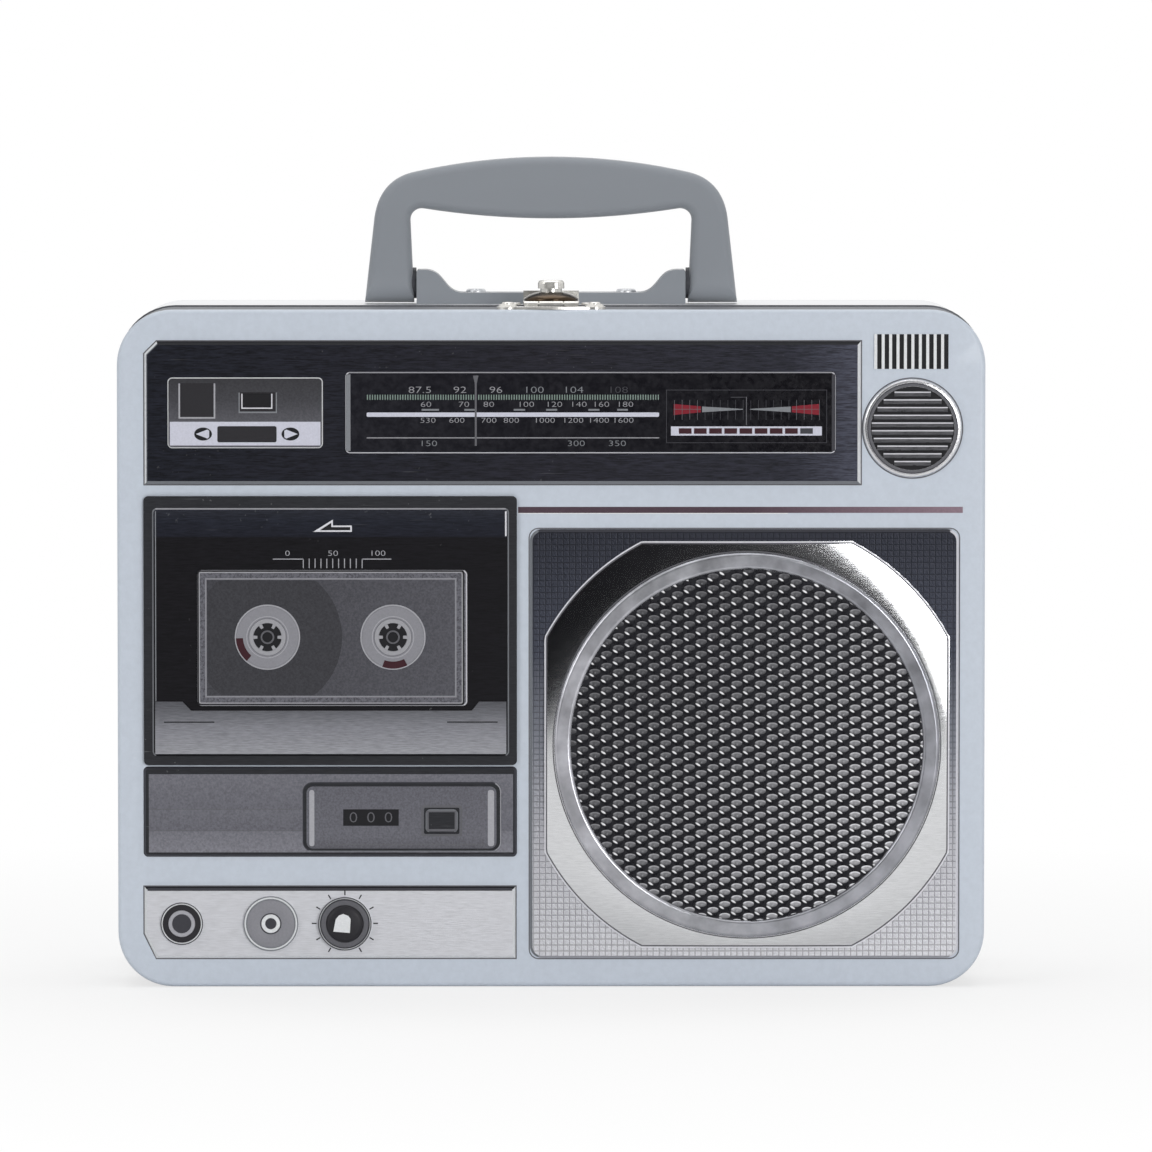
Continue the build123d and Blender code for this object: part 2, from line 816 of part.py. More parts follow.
latch_leaf.part.label = "latch_leaf"
export_step(latch_leaf.part, "parts/latch_leaf.step")


# Rivets of the latch leaf
leaf_rivet_pair = rivets(
    leaf_rivet_x,
    leaf_y,
    case_height + leaf_boss_height,
    wall_inside,
    small_rivet_radius,
    small_rivet_head,
    small_rivet_head_height,
    small_rivet_head,
    small_rivet_tail_height,
)
with BuildPart() as latch_leaf_rivets:
    add(leaf_rivet_pair)
latch_leaf_rivets.part.label = "latch_leaf_rivets"
export_step(latch_leaf_rivets.part, "parts/latch_leaf_rivets.step")


# Pin of the hasp
pin_half = knuckle_start + latch_leaf_knuckle
with BuildPart() as latch_pin:
    with BuildSketch(Plane.YZ):
        with Locations((latch_axis_y, latch_axis_z)):
            Circle(latch_pin_radius)
    extrude(amount=pin_half, both=True)
latch_pin.part.label = "latch_pin"
export_step(latch_pin.part, "parts/latch_pin.step")


# Hasp: a plate with a pressed dome, a hole for the catch and a turned-up end
hasp_z = case_height + hasp_lift
hasp_top = hasp_z + hasp_thickness
hasp_end = latch_axis_y + hasp_reach
hasp_start = latch_axis_y + latch_knuckle_radius + latch_knuckle_gap
dome_y = latch_axis_y + dome_back
dome_top = hasp_top + dome_height
with BuildPart() as latch_hasp:
    with BuildSketch(Plane.XY.offset(hasp_z)):
        with Locations((0, (hasp_start + hasp_end) / 2)):
            Rectangle(2 * hasp_half, hasp_end - hasp_start)
        with Locations((0, (latch_axis_y + hasp_start) / 2)):
            Rectangle(2 * latch_knuckle_half, hasp_start - latch_axis_y)
    extrude(amount=hasp_thickness)
    with BuildSketch(Plane.YZ.offset(-latch_knuckle_half)):
        with Locations((latch_axis_y, latch_axis_z)):
            Circle(latch_knuckle_radius)
    extrude(amount=2 * latch_knuckle_half)
    with BuildSketch(Plane.YZ):
        with Locations((latch_axis_y, latch_axis_z)):
            Circle(latch_pin_radius + latch_run)
    extrude(amount=hasp_half, both=True, mode=Mode.SUBTRACT)
    # Dome under the finger knob
    with BuildSketch(Plane.XZ.offset(-dome_y)):
        with BuildLine():
            Polyline(
                (dome_crown_radius, dome_top),
                (0, dome_top),
                (0, hasp_top),
                (dome_radius, hasp_top),
                (dome_radius, hasp_top + dome_edge),
            )
            ThreePointArc(
                (dome_radius, hasp_top + dome_edge),
                (dome_shoulder_radius, hasp_top + dome_shoulder),
                (dome_crown_radius, dome_top),
            )
        make_face()
    revolve(axis=Axis((0, dome_y, 0), (0, 0, 1)))
    # Turned-up end
    with BuildSketch(Plane.XY.offset(hasp_top)):
        with Locations((0, hasp_end - hasp_thickness / 2)):
            Rectangle(2 * hasp_half, hasp_thickness)
    extrude(amount=hasp_lip)
    # Hole that drops over the bump of the catch
    with BuildSketch(Plane.XY.offset(hasp_z)):
        with Locations((0, catch_y)):
            Circle(hasp_hole_radius)
    extrude(amount=hasp_thickness + dome_height, mode=Mode.SUBTRACT)
latch_hasp.part.label = "latch_hasp"
export_step(latch_hasp.part, "parts/latch_hasp.step")


# Finger knob on the dome of the hasp
with BuildPart() as latch_knob:
    with BuildSketch(Plane.XY.offset(dome_top)):
        with Locations((0, dome_y)):
            Circle(knob_neck_radius)
    extrude(amount=knob_neck_height)
    with BuildSketch(Plane.XY.offset(dome_top + knob_neck_height)):
        with Locations((0, dome_y)):
            RectangleRounded(2 * knob_half, knob_depth, knob_corner)
    extrude(amount=knob_thickness)
    fillet(latch_knob.faces().sort_by(Axis.Z)[-1].edges(), knob_edge)
latch_knob.part.label = "latch_knob"
export_step(latch_knob.part, "parts/latch_knob.step")


# Catch plate on the base, with the bump that holds the hasp
with BuildPart() as latch_catch:
    with BuildSketch(Plane.XY.offset(case_height)):
        with Locations((0, catch_y)):
            RectangleRounded(2 * catch_half, catch_depth, small_corner)
    extrude(amount=catch_thickness)
    with BuildSketch(Plane.XY.offset(case_height + catch_thickness)):
        with Locations((0, catch_y)):
            Circle(catch_bump_radius)
    extrude(amount=catch_bump_height)
    fillet(latch_catch.faces().sort_by(Axis.Z)[-1].edges(), catch_bump_height * head_round_share)
    with BuildSketch(Plane.XY.offset(case_height)):
        with Locations((-catch_rivet_x, catch_y), (catch_rivet_x, catch_y)):
            Circle(small_rivet_radius + rivet_slip)
    extrude(amount=catch_thickness, mode=Mode.SUBTRACT)
latch_catch.part.label = "latch_catch"
export_step(latch_catch.part, "parts/latch_catch.step")


# Rivets of the catch plate
catch_rivet_pair = rivets(
    catch_rivet_x,
    catch_y,
    case_height + catch_thickness,
    wall_inside,
    small_rivet_radius,
    small_rivet_head,
    small_rivet_head_height,
    small_rivet_head,
    small_rivet_tail_height,
)
with BuildPart() as catch_rivets:
    add(catch_rivet_pair)
catch_rivets.part.label = "catch_rivets"
export_step(catch_rivets.part, "parts/catch_rivets.step")
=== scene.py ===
"""Looks of a tin carrying case that is embossed and printed as a cassette recorder."""

import json
import math

import bmesh
import bpy
import numpy as np
from bpy.props import FloatProperty, FloatVectorProperty, PointerProperty
from bpy.types import Operator, Panel, PropertyGroup
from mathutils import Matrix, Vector


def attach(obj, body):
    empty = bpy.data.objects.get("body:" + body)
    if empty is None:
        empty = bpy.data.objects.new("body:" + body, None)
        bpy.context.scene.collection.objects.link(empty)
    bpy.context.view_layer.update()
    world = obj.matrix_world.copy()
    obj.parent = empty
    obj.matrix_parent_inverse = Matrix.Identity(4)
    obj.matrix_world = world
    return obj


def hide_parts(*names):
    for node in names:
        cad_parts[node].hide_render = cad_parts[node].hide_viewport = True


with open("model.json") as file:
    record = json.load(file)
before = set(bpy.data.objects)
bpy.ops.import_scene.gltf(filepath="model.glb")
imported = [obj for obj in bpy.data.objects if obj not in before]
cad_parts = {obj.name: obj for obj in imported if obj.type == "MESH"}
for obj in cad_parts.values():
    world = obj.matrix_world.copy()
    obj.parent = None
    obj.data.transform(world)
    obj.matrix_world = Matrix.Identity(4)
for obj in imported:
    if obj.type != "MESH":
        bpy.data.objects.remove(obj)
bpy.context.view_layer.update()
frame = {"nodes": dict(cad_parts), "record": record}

bl_info = {
    "name": "Tin recorder case",
    "version": (1, 0, 0),
    "blender": (4, 5, 0),
    "location": "View3D > Sidebar > Tin case",
    "description": "Finishes and prints of an embossed tin carrying case",
    "category": "Object",
}

MM = 0.001
FULL_TURN = 2.0 * math.pi
# step from a print to the print that lies on it, in millimetres
LAYER = 0.03
# heights of the embossed forms above the plain field of the face, in millimetres
DIAL_LEVEL = 1.2
WINDOW_LEVEL = 1.6
PROGRAM_LEVEL = 1.55
TUNER_LEVEL = 0.6
VENT_LEVEL = 0.6
BAY_LEVEL = 0.9
DOOR_LEVEL = 1.4
CASSETTE_LEVEL = 1.9
COUNTER_LEVEL = 0.9
COUNTER_WINDOW_LEVEL = 1.3
BUTTON_LEVEL = 1.8
JACK_LEVEL = 0.9
SOCKET_LEVEL = 1.6
KNOB_LEVEL = 2.1
PLATE_LEVEL = 0.9
GRILLE_LEVEL = 2.2
# the middles of the speaker and of the tuning disc, in millimetres
SPEAKER_X = 49.6
SPEAKER_Z = 61.7
TUNER_X = 91.5
TUNER_Z = 142.0
# a bump of the grille stands at this place, in millimetres
BUMP_X = 49.88
BUMP_Z = 63.22
# speaker ring: its radii, the rounding of its crown and the height of the crown, in millimetres
RING_OUTER = 48.9
RING_INNER = 44.6
RING_ROUND = 0.9
RING_LEVEL = 3.2
# speaker frame: its radius, the half sizes of its flats, and its height at the outside, in millimetres
FRAME_RADIUS = 58.2
FRAME_HALF_WIDTH = 51.35
FRAME_HALF_HEIGHT = 51.7
FRAME_LEVEL = 1.2
# the frame is a cone that rises to this height at the ring
RING_GROUND = 2.2
FRAME_SLOPE = (RING_GROUND - FRAME_LEVEL) / (FRAME_RADIUS - RING_OUTER)
# grain of the finishes: how finely it is drawn along X, Y and Z
BRUSHED = (330.0, 900.0, 3600.0)
ROLLED = (500.0, 900.0, 60.0)
PLATED = (350.0, 350.0, 350.0)
FINE = (700.0, 700.0, 700.0)
SPECK = (2000.0, 2000.0, 2000.0)


def shade(red, green, blue):
    """Linear colour of a screen colour given as three values up to 255."""
    screen = np.array([red, green, blue]) / 255.0
    return tuple(np.where(screen <= 0.04045, screen / 12.92, ((screen + 0.055) / 1.055) ** 2.4))


def tones(*stops):
    """Stops of a band of colour: each is a place in millimetres with a screen colour or a ready colour."""
    return [(where, tuple(tint[0]) if len(tint) == 1 else shade(*tint)) for where, *tint in stops]


def colour(label, text, red, green, blue):
    """A colour property with a screen colour as its default."""
    return FloatVectorProperty(
        name=label,
        description=text,
        default=shade(red, green, blue),
        subtype="COLOR",
        size=3,
        min=0.0,
        max=1.0,
    )


def length(label, text, default):
    """A length property in metres."""
    return FloatProperty(name=label, description=text, default=default, unit="LENGTH", precision=5)


def angle(label, text, degrees):
    """An angle property with a default in degrees."""
    return FloatProperty(name=label, description=text, default=math.radians(degrees), subtype="ANGLE")


class TinSizes(PropertyGroup):
    """Sizes that a user would change."""

    face_y: length("Face", "Place of the plain field of the face along Y", -0.0393)
    print_height: length("Print height", "Thickness of a printed mark", 0.00003)
    bump_radius: length("Bump radius", "Radius of one bump of the grille", 0.0015)
    bump_height: length("Bump height", "Height of one bump of the grille", 0.00075)
    bump_column: length("Bump column", "Step from one column of bumps to the next", 0.003)
    bump_row: length("Bump row", "Step from one bump to the next in a column", 0.00303)
    grille_radius: length("Grille radius", "Radius of the field of bumps", 0.0446)
    reel_radius: length("Reel radius", "Radius of the light ring of a reel", 0.0083)
    camera_distance: length("Camera distance", "Distance from the camera to the face", 2.4)
    picture_width: length("Picture width", "Width of the picture in the plane of the face", 0.2918)
    camera_rise: angle("Camera rise", "Angle of the camera above the middle of the face", 3.4)
    camera_turn: angle("Camera turn", "Angle of the camera towards the left end of the case", 0.2)


class TinColours(PropertyGroup):
    """Colours that a user would change."""

    paint: colour("Paint", "Pale paint of the face and back", 196, 204, 215)
    black: colour("Black", "Brushed black in the middle of the dial panel", 38, 38, 48)
    gloss: colour("Gloss", "Gloss black at the left of the dial window", 36, 36, 42)
    charcoal: colour("Charcoal", "Dark grey of the bay and the counter", 46, 47, 51)
    silver: colour("Silver", "Printed silver", 208, 209, 214)
    tin: colour("Tin", "Bare tinplate", 232, 233, 235)
    nickel: colour("Nickel", "Nickel of the latch", 226, 224, 219)
    plastic: colour("Plastic", "Grey plastic of the handle", 131, 136, 147)
    white: colour("White", "White marks", 226, 228, 230)
    grey: colour("Grey", "Grey marks", 128, 131, 136)
    green: colour("Green", "Grey green marks of the tuning scale", 130, 148, 140)
    red: colour("Red", "Dark red marks", 126, 24, 40)
    maroon: colour("Maroon", "Stripe across the face", 78, 61, 71)
    lavender: colour("Lavender", "Pale strip of the small panel", 203, 204, 217)


def fill(node, values):
    """Set plain values on the inputs of a node."""
    for label, value in values.items():
        node.inputs[label].default_value = value


def socket(sockets, identifier):
    """The socket with this identifier."""
    return next(s for s in sockets if s.identifier == identifier)


def new_group(name, inputs, outputs):
    """An empty shader group, the sockets that it is given and the sockets of its result."""
    tree = bpy.data.node_groups.new(name, "ShaderNodeTree")
    for side, labels in (("INPUT", inputs), ("OUTPUT", outputs)):
        for label, kind in labels.items():
            tree.interface.new_socket(label, in_out=side, socket_type=kind)
    return tree, tree.nodes.new("NodeGroupInput").outputs, tree.nodes.new("NodeGroupOutput").inputs


def spread(tree, value, low, high, to_low=0.0, to_high=1.0):
    """A value carried from one range to another and clamped."""
    node = tree.nodes.new("ShaderNodeMapRange")
    fill(node, {"From Min": low, "From Max": high, "To Min": to_low, "To Max": to_high})
    tree.links.new(value, node.inputs["Value"])
    return node.outputs["Result"]


def maths(tree, operation, first, second=0.0):
    """Result of a math node on two values, where the second may be a plain number."""
    node = tree.nodes.new("ShaderNodeMath")
    node.operation = operation
    tree.links.new(first, node.inputs[0])
    if isinstance(second, (int, float)):
        node.inputs[1].default_value = second
    else:
        tree.links.new(second, node.inputs[1])
    return node.outputs["Value"]


def blend_colours(tree, kind, amount, first, second):
    """A colour mix; each of the amount and the two colours is a socket or a plain value."""
    node = tree.nodes.new("ShaderNodeMix")
    node.data_type = "RGBA"
    node.blend_type = kind
    for identifier, value in (("Factor_Float", amount), ("A_Color", first), ("B_Color", second)):
        target = socket(node.inputs, identifier)
        if isinstance(value, bpy.types.NodeSocket):
            tree.links.new(value, target)
        elif identifier == "Factor_Float":
            target.default_value = value
        else:
            target.default_value = (*value, 1.0)
    return socket(node.outputs, "Result_Color")


def object_place(tree):
    """Place on the object."""
    return tree.nodes.new("ShaderNodeTexCoord").outputs["Object"]


def object_axes(tree):
    """Place on the object, split into X, Y and Z."""
    split = tree.nodes.new("ShaderNodeSeparateXYZ")
    tree.links.new(object_place(tree), split.inputs["Vector"])
    return split.outputs


def noise(tree, place, scale, detail, roughness=0.5):
    """Noise at a place."""
    node = tree.nodes.new("ShaderNodeTexNoise")
    fill(node, {"Scale": scale, "Detail": detail, "Roughness": roughness})
    tree.links.new(place, node.inputs["Vector"])
    return node.outputs["Fac"]


def grain_group():
    """Noise over the place on the object, stretched by the scale, as a tone from 0 to 1."""
    tree, given, result = new_group("grain", {"Scale": "NodeSocketVector"}, {"Tone": "NodeSocketFloat"})
    stretch = tree.nodes.new("ShaderNodeVectorMath")
    stretch.operation = "MULTIPLY"
    tree.links.new(object_place(tree), stretch.inputs[0])
    tree.links.new(given["Scale"], stretch.inputs[1])
    tone = noise(tree, stretch.outputs["Vector"], 1.0, 4.0, 0.65)
    tree.links.new(spread(tree, tone, 0.36, 0.64), result["Tone"])


def wear_group():
    """Small chips and short scratches in the print, as a mask that is 1 where the print is gone."""
    tree, given, result = new_group("wear", {"Amount": "NodeSocketFloat"}, {"Mask": "NodeSocketFloat"})
    place = object_place(tree)
    slanted = tree.nodes.new("ShaderNodeMapping")
    fill(slanted, {"Rotation": (0.0, math.radians(38.0), 0.0), "Scale": (60.0, 60.0, 2200.0)})
    tree.links.new(place, slanted.inputs["Vector"])
    chip = spread(tree, noise(tree, place, 900.0, 2.0), 0.7, 0.74)
    scratch = spread(tree, noise(tree, slanted.outputs["Vector"], 1.0, 1.0), 0.74, 0.78)
    area = spread(tree, noise(tree, place, 45.0, 2.0), 0.52, 0.66)
    marks = maths(tree, "MULTIPLY", maths(tree, "MAXIMUM", chip, scratch), area)
    tree.links.new(maths(tree, "MULTIPLY", marks, given["Amount"]), result["Mask"])


def hatch_group():
    """Square grid of fine lines over X and Z, as a tone that is 1 on a line."""
    tree, given, result = new_group("hatch", {"Pitch": "NodeSocketFloat"}, {"Tone": "NodeSocketFloat"})
    axes = object_axes(tree)
    lines = []
    for axis in ("X", "Z"):
        steps = maths(tree, "DIVIDE", axes[axis], given["Pitch"])
        lines.append(maths(tree, "PINGPONG", steps, 0.5))
    nearest = maths(tree, "MINIMUM", *lines)
    tree.links.new(spread(tree, nearest, 0.06, 0.13, 1.0, 0.0), result["Tone"])


def bump_painted_light_group():
    """Painted light on each bump of the grille: a painted reflection on its upper side, a painted highlight
    at its lower left, and a painted brightening towards the lower right.
    """
    outputs = {label: "NodeSocketFloat" for label in ("Arc", "Painted_highlight", "Painted_brightening")}
    tree, _, result = new_group("bump_painted_light", {}, outputs)
    sizes = bpy.context.scene.tin_sizes

    def sums(operation, first, second=0.0):
        """Result of a math node in this group."""
        return maths(tree, operation, first, second)

    def nearest_step(place, step):
        """The number of the nearest of equal steps, and the distance from it."""
        number = sums("ROUND", sums("DIVIDE", place, step))
        return number, sums("SUBTRACT", place, sums("MULTIPLY", number, step))

    axes = object_axes(tree)
    x = sums("SUBTRACT", axes["X"], BUMP_X * MM)
    z = sums("SUBTRACT", axes["Z"], BUMP_Z * MM)
    column, local_x = nearest_step(x, sizes.bump_column)
    odd = sums("PINGPONG", column, 1.0)
    shifted = sums("SUBTRACT", z, sums("MULTIPLY", odd, sizes.bump_row / 2.0))
    _, local_z = nearest_step(shifted, sizes.bump_row)
    across = sums("DIVIDE", local_x, sizes.bump_radius)
    up = sums("DIVIDE", local_z, sizes.bump_radius)

    def reach(middle_x, middle_z, wide, high, tilt):
        """Distance from a point of the bump, counted in the half sizes of a leaning oval."""
        along = sums("SUBTRACT", across, middle_x)
        rise = sums("SUBTRACT", sums("SUBTRACT", up, middle_z), sums("MULTIPLY", along, tilt))
        shares = (sums("DIVIDE", along, wide), sums("DIVIDE", rise, high))
        return sums("SQRT", sums("ADD", *(sums("POWER", sums("ABSOLUTE", share), 2.0) for share in shares)))

    # painted reflection: a grey crescent over the upper side of each bump
    lens = reach(0.1, 0.3, 0.98, 0.5, 0.0)
    body = spread(tree, lens, 1.02, 0.88)
    rim = sums("MULTIPLY", spread(tree, lens, 0.5, 0.9), spread(tree, up, 0.3, 0.5))
    lit = sums("MULTIPLY", spread(tree, rim, 0.0, 1.0, 0.34, 1.0), spread(tree, up, -0.1, 0.3, 0.45, 1.0))
    tree.links.new(sums("MULTIPLY", body, lit), result["Arc"])
    # painted highlight: a bright spot at the lower left of each bump
    tree.links.new(spread(tree, reach(-0.46, -0.26, 0.44, 0.21, -0.5), 1.1, 0.65), result["Painted_highlight"])
    # painted brightening of the upper reflection, faint at the upper left and strong at the lower right
    share = spread(tree, sums("SUBTRACT", x, z), -0.06, 0.06)
    tree.links.new(spread(tree, sums("MULTIPLY", share, share), 0.0, 1.0, 0.24, 1.3), result["Painted_brightening"])


GROUPS = {"grain": grain_group, "wear": wear_group, "hatch": hatch_group, "bump_painted_light": bump_painted_light_group}


def group_node(tree, name):
    """A node that uses the shared group of this name, which is made the first time."""
    if name not in bpy.data.node_groups:
        GROUPS[name]()
    node = tree.nodes.new("ShaderNodeGroup")
    node.node_tree = bpy.data.node_groups[name]
    return node


def ramp_along(tree, axis, stops):
    """Colour that changes along one axis of the object; stops are places in millimetres with colours."""
    first = stops[0][0] * MM
    last = stops[-1][0] * MM
    ramp = tree.nodes.new("ShaderNodeValToRGB")
    tree.links.new(spread(tree, object_axes(tree)[axis], first, last), ramp.inputs["Fac"])
    band = ramp.color_ramp.elements
    while len(band) < len(stops):
        band.new(0.5)
    for element, (where, tint) in zip(band, stops):
        element.position = (where * MM - first) / (last - first)
        element.color = (*tint, 1.0)
    return ramp.outputs["Color"]


def surface_of(material):
    """The surface shader of a material."""
    return next(n for n in material.node_tree.nodes if n.type == "BSDF_PRINCIPLED")


def new_material(name):
    """A new material, its nodes and its surface shader."""
    made = bpy.data.materials.new(name)
    made.use_nodes = True
    return made, made.node_tree, surface_of(made)


def look(name, tint, metallic=0.0, roughness=0.4, grain=FINE, depth=0.2, rough_spread=0.12, bump=0.1,
         wear=0.0, coat=0.0, axis="Z", hatch=0.0, shine=0.35):
    """A material: a colour or a list of bands, grain in tone, roughness and height, and worn spots."""
    if name in bpy.data.materials:
        return bpy.data.materials[name]
    made, tree, surface = new_material(name)
    fill(surface, {
        "Metallic": metallic,
        "Coat Weight": coat,
        "Coat Roughness": 0.12,
        "Specular IOR Level": shine,
    })
    fine = group_node(tree, "grain")
    fill(fine, {"Scale": grain})
    tone = fine.outputs["Tone"]
    base = ramp_along(tree, axis, tint) if isinstance(tint, list) else tint
    height = tone
    if hatch:
        lines = group_node(tree, "hatch")
        fill(lines, {"Pitch": hatch})
        dimmed = spread(tree, lines.outputs["Tone"], 0.0, 1.0, 1.0, 0.6)
        base = blend_colours(tree, "MULTIPLY", 1.0, base, dimmed)
        height = maths(tree, "SUBTRACT", tone, lines.outputs["Tone"])
    grey = spread(tree, tone, 0.0, 1.0, 1.0 - depth, 1.0)
    base = blend_colours(tree, "MULTIPLY", 1.0, base, grey)
    low = max(roughness - rough_spread / 2.0, 0.02)
    tree.links.new(spread(tree, tone, 0.0, 1.0, low, low + rough_spread), surface.inputs["Roughness"])
    if wear:
        worn = group_node(tree, "wear")
        fill(worn, {"Amount": wear})
        mask = worn.outputs["Mask"]
        base = blend_colours(tree, "MIX", mask, base, bpy.context.scene.tin_colours.tin)
        tree.links.new(spread(tree, mask, 0.0, 1.0, metallic, 1.0), surface.inputs["Metallic"])
    tree.links.new(base, surface.inputs["Base Color"])
    relief = tree.nodes.new("ShaderNodeBump")
    fill(relief, {"Strength": bump, "Distance": 0.0001})
    tree.links.new(height, relief.inputs["Height"])
    tree.links.new(relief.outputs["Normal"], surface.inputs["Normal"])
    return made


def grille_look():
    """Black bumps, each with a painted grey reflection on its upper side and a painted highlight at its lower
    left.
    """
    if "grille_black_painted_highlights" in bpy.data.materials:
        return bpy.data.materials["grille_black_painted_highlights"]
    made = look("grille_black_painted_highlights", shade(30, 30, 36), metallic=0.2, roughness=0.3, depth=0.3, bump=0.05,
                shine=0.25)
    tree = made.node_tree
    base = surface_of(made).inputs["Base Color"]
    plain = base.links[0].from_socket
    marks = group_node(tree, "bump_painted_light").outputs
    # the painted reflection, then the painted highlight, laid over the black
    arc = maths(tree, "MULTIPLY", marks["Arc"], marks["Painted_brightening"])
    toned = blend_colours(tree, "MIX", arc, plain, shade(235, 235, 240))
    tree.links.new(blend_colours(tree, "MIX", marks["Painted_highlight"], toned, shade(246, 246, 248)), base)
    return made


def plastic_look(tint):
    """Grey plastic with a hard skin and a bloom, which brighten its rounded edges."""
    made = look("grey_plastic", tint, roughness=0.34, grain=(2200.0, 2200.0, 2200.0), depth=0.08, bump=0.12,
                coat=1.0, shine=0.5)
    fill(surface_of(made), {"Coat IOR": 2.0, "Sheen Weight": 0.5, "Sheen Roughness": 0.4})
    return made


def metal_looks(tint):
    """Finishes of bare and plated metal by name."""
    # painted shade: the ring is lighter at its left and darker towards its right, as the light falls on it
    ring = tones((0.7, 202, 202, 209), (30.0, 198, 199, 205), (60.0, 178, 179, 186), (98.5, 164, 165, 172))
    return {
        "inside": look("lacquered_tin", tint.tin, metallic=0.85, roughness=0.38, grain=(60.0, 60.0, 900.0),
                       depth=0.25),
        "tin": look("bare_tin", shade(198, 200, 204), metallic=0.5, roughness=0.32, grain=ROLLED, depth=0.15),
        # painted reflection: the lid's band is darker than the bare tin, standing in for the dark reflection
        # along its top
        "lid_tin": look("lid_tin_painted_dark_reflection", shade(112, 114, 119), metallic=0.3, roughness=0.5, grain=ROLLED,
                        shine=0.1),
        "edge": look("bright_edge", tint.tin, metallic=1.0, roughness=0.14, grain=(120.0, 120.0, 120.0),
                     depth=0.1, rough_spread=0.06, bump=0.0),
        "rim": look("tuner_rim_tin", shade(222, 222, 225), metallic=0.8, roughness=0.2, depth=0.06,
                    rough_spread=0.03, bump=0.0),
        "frame": look("speaker_frame_tin", tint.tin, metallic=1.0, roughness=0.11, grain=BRUSHED, depth=0.14,
                      rough_spread=0.03, bump=0.0),
        "ring": look("speaker_ring_tin_painted_shade", ring, metallic=0.72, roughness=0.22, grain=(90.0, 90.0, 90.0),
                     depth=0.38, rough_spread=0.06, bump=0.0, axis="X"),
        "nickel": look("nickel_plate", tint.nickel, metallic=0.6, roughness=0.22, grain=PLATED, depth=0.1,
                       bump=0.0),
        "dome": look("dome_nickel", shade(74, 62, 50), metallic=1.0, roughness=0.2, grain=PLATED, depth=0.25,
                     bump=0.05),
        "steel": look("plated_steel", shade(190, 191, 194), metallic=1.0, roughness=0.3,
                      grain=(400.0, 400.0, 400.0), depth=0.3),
    }


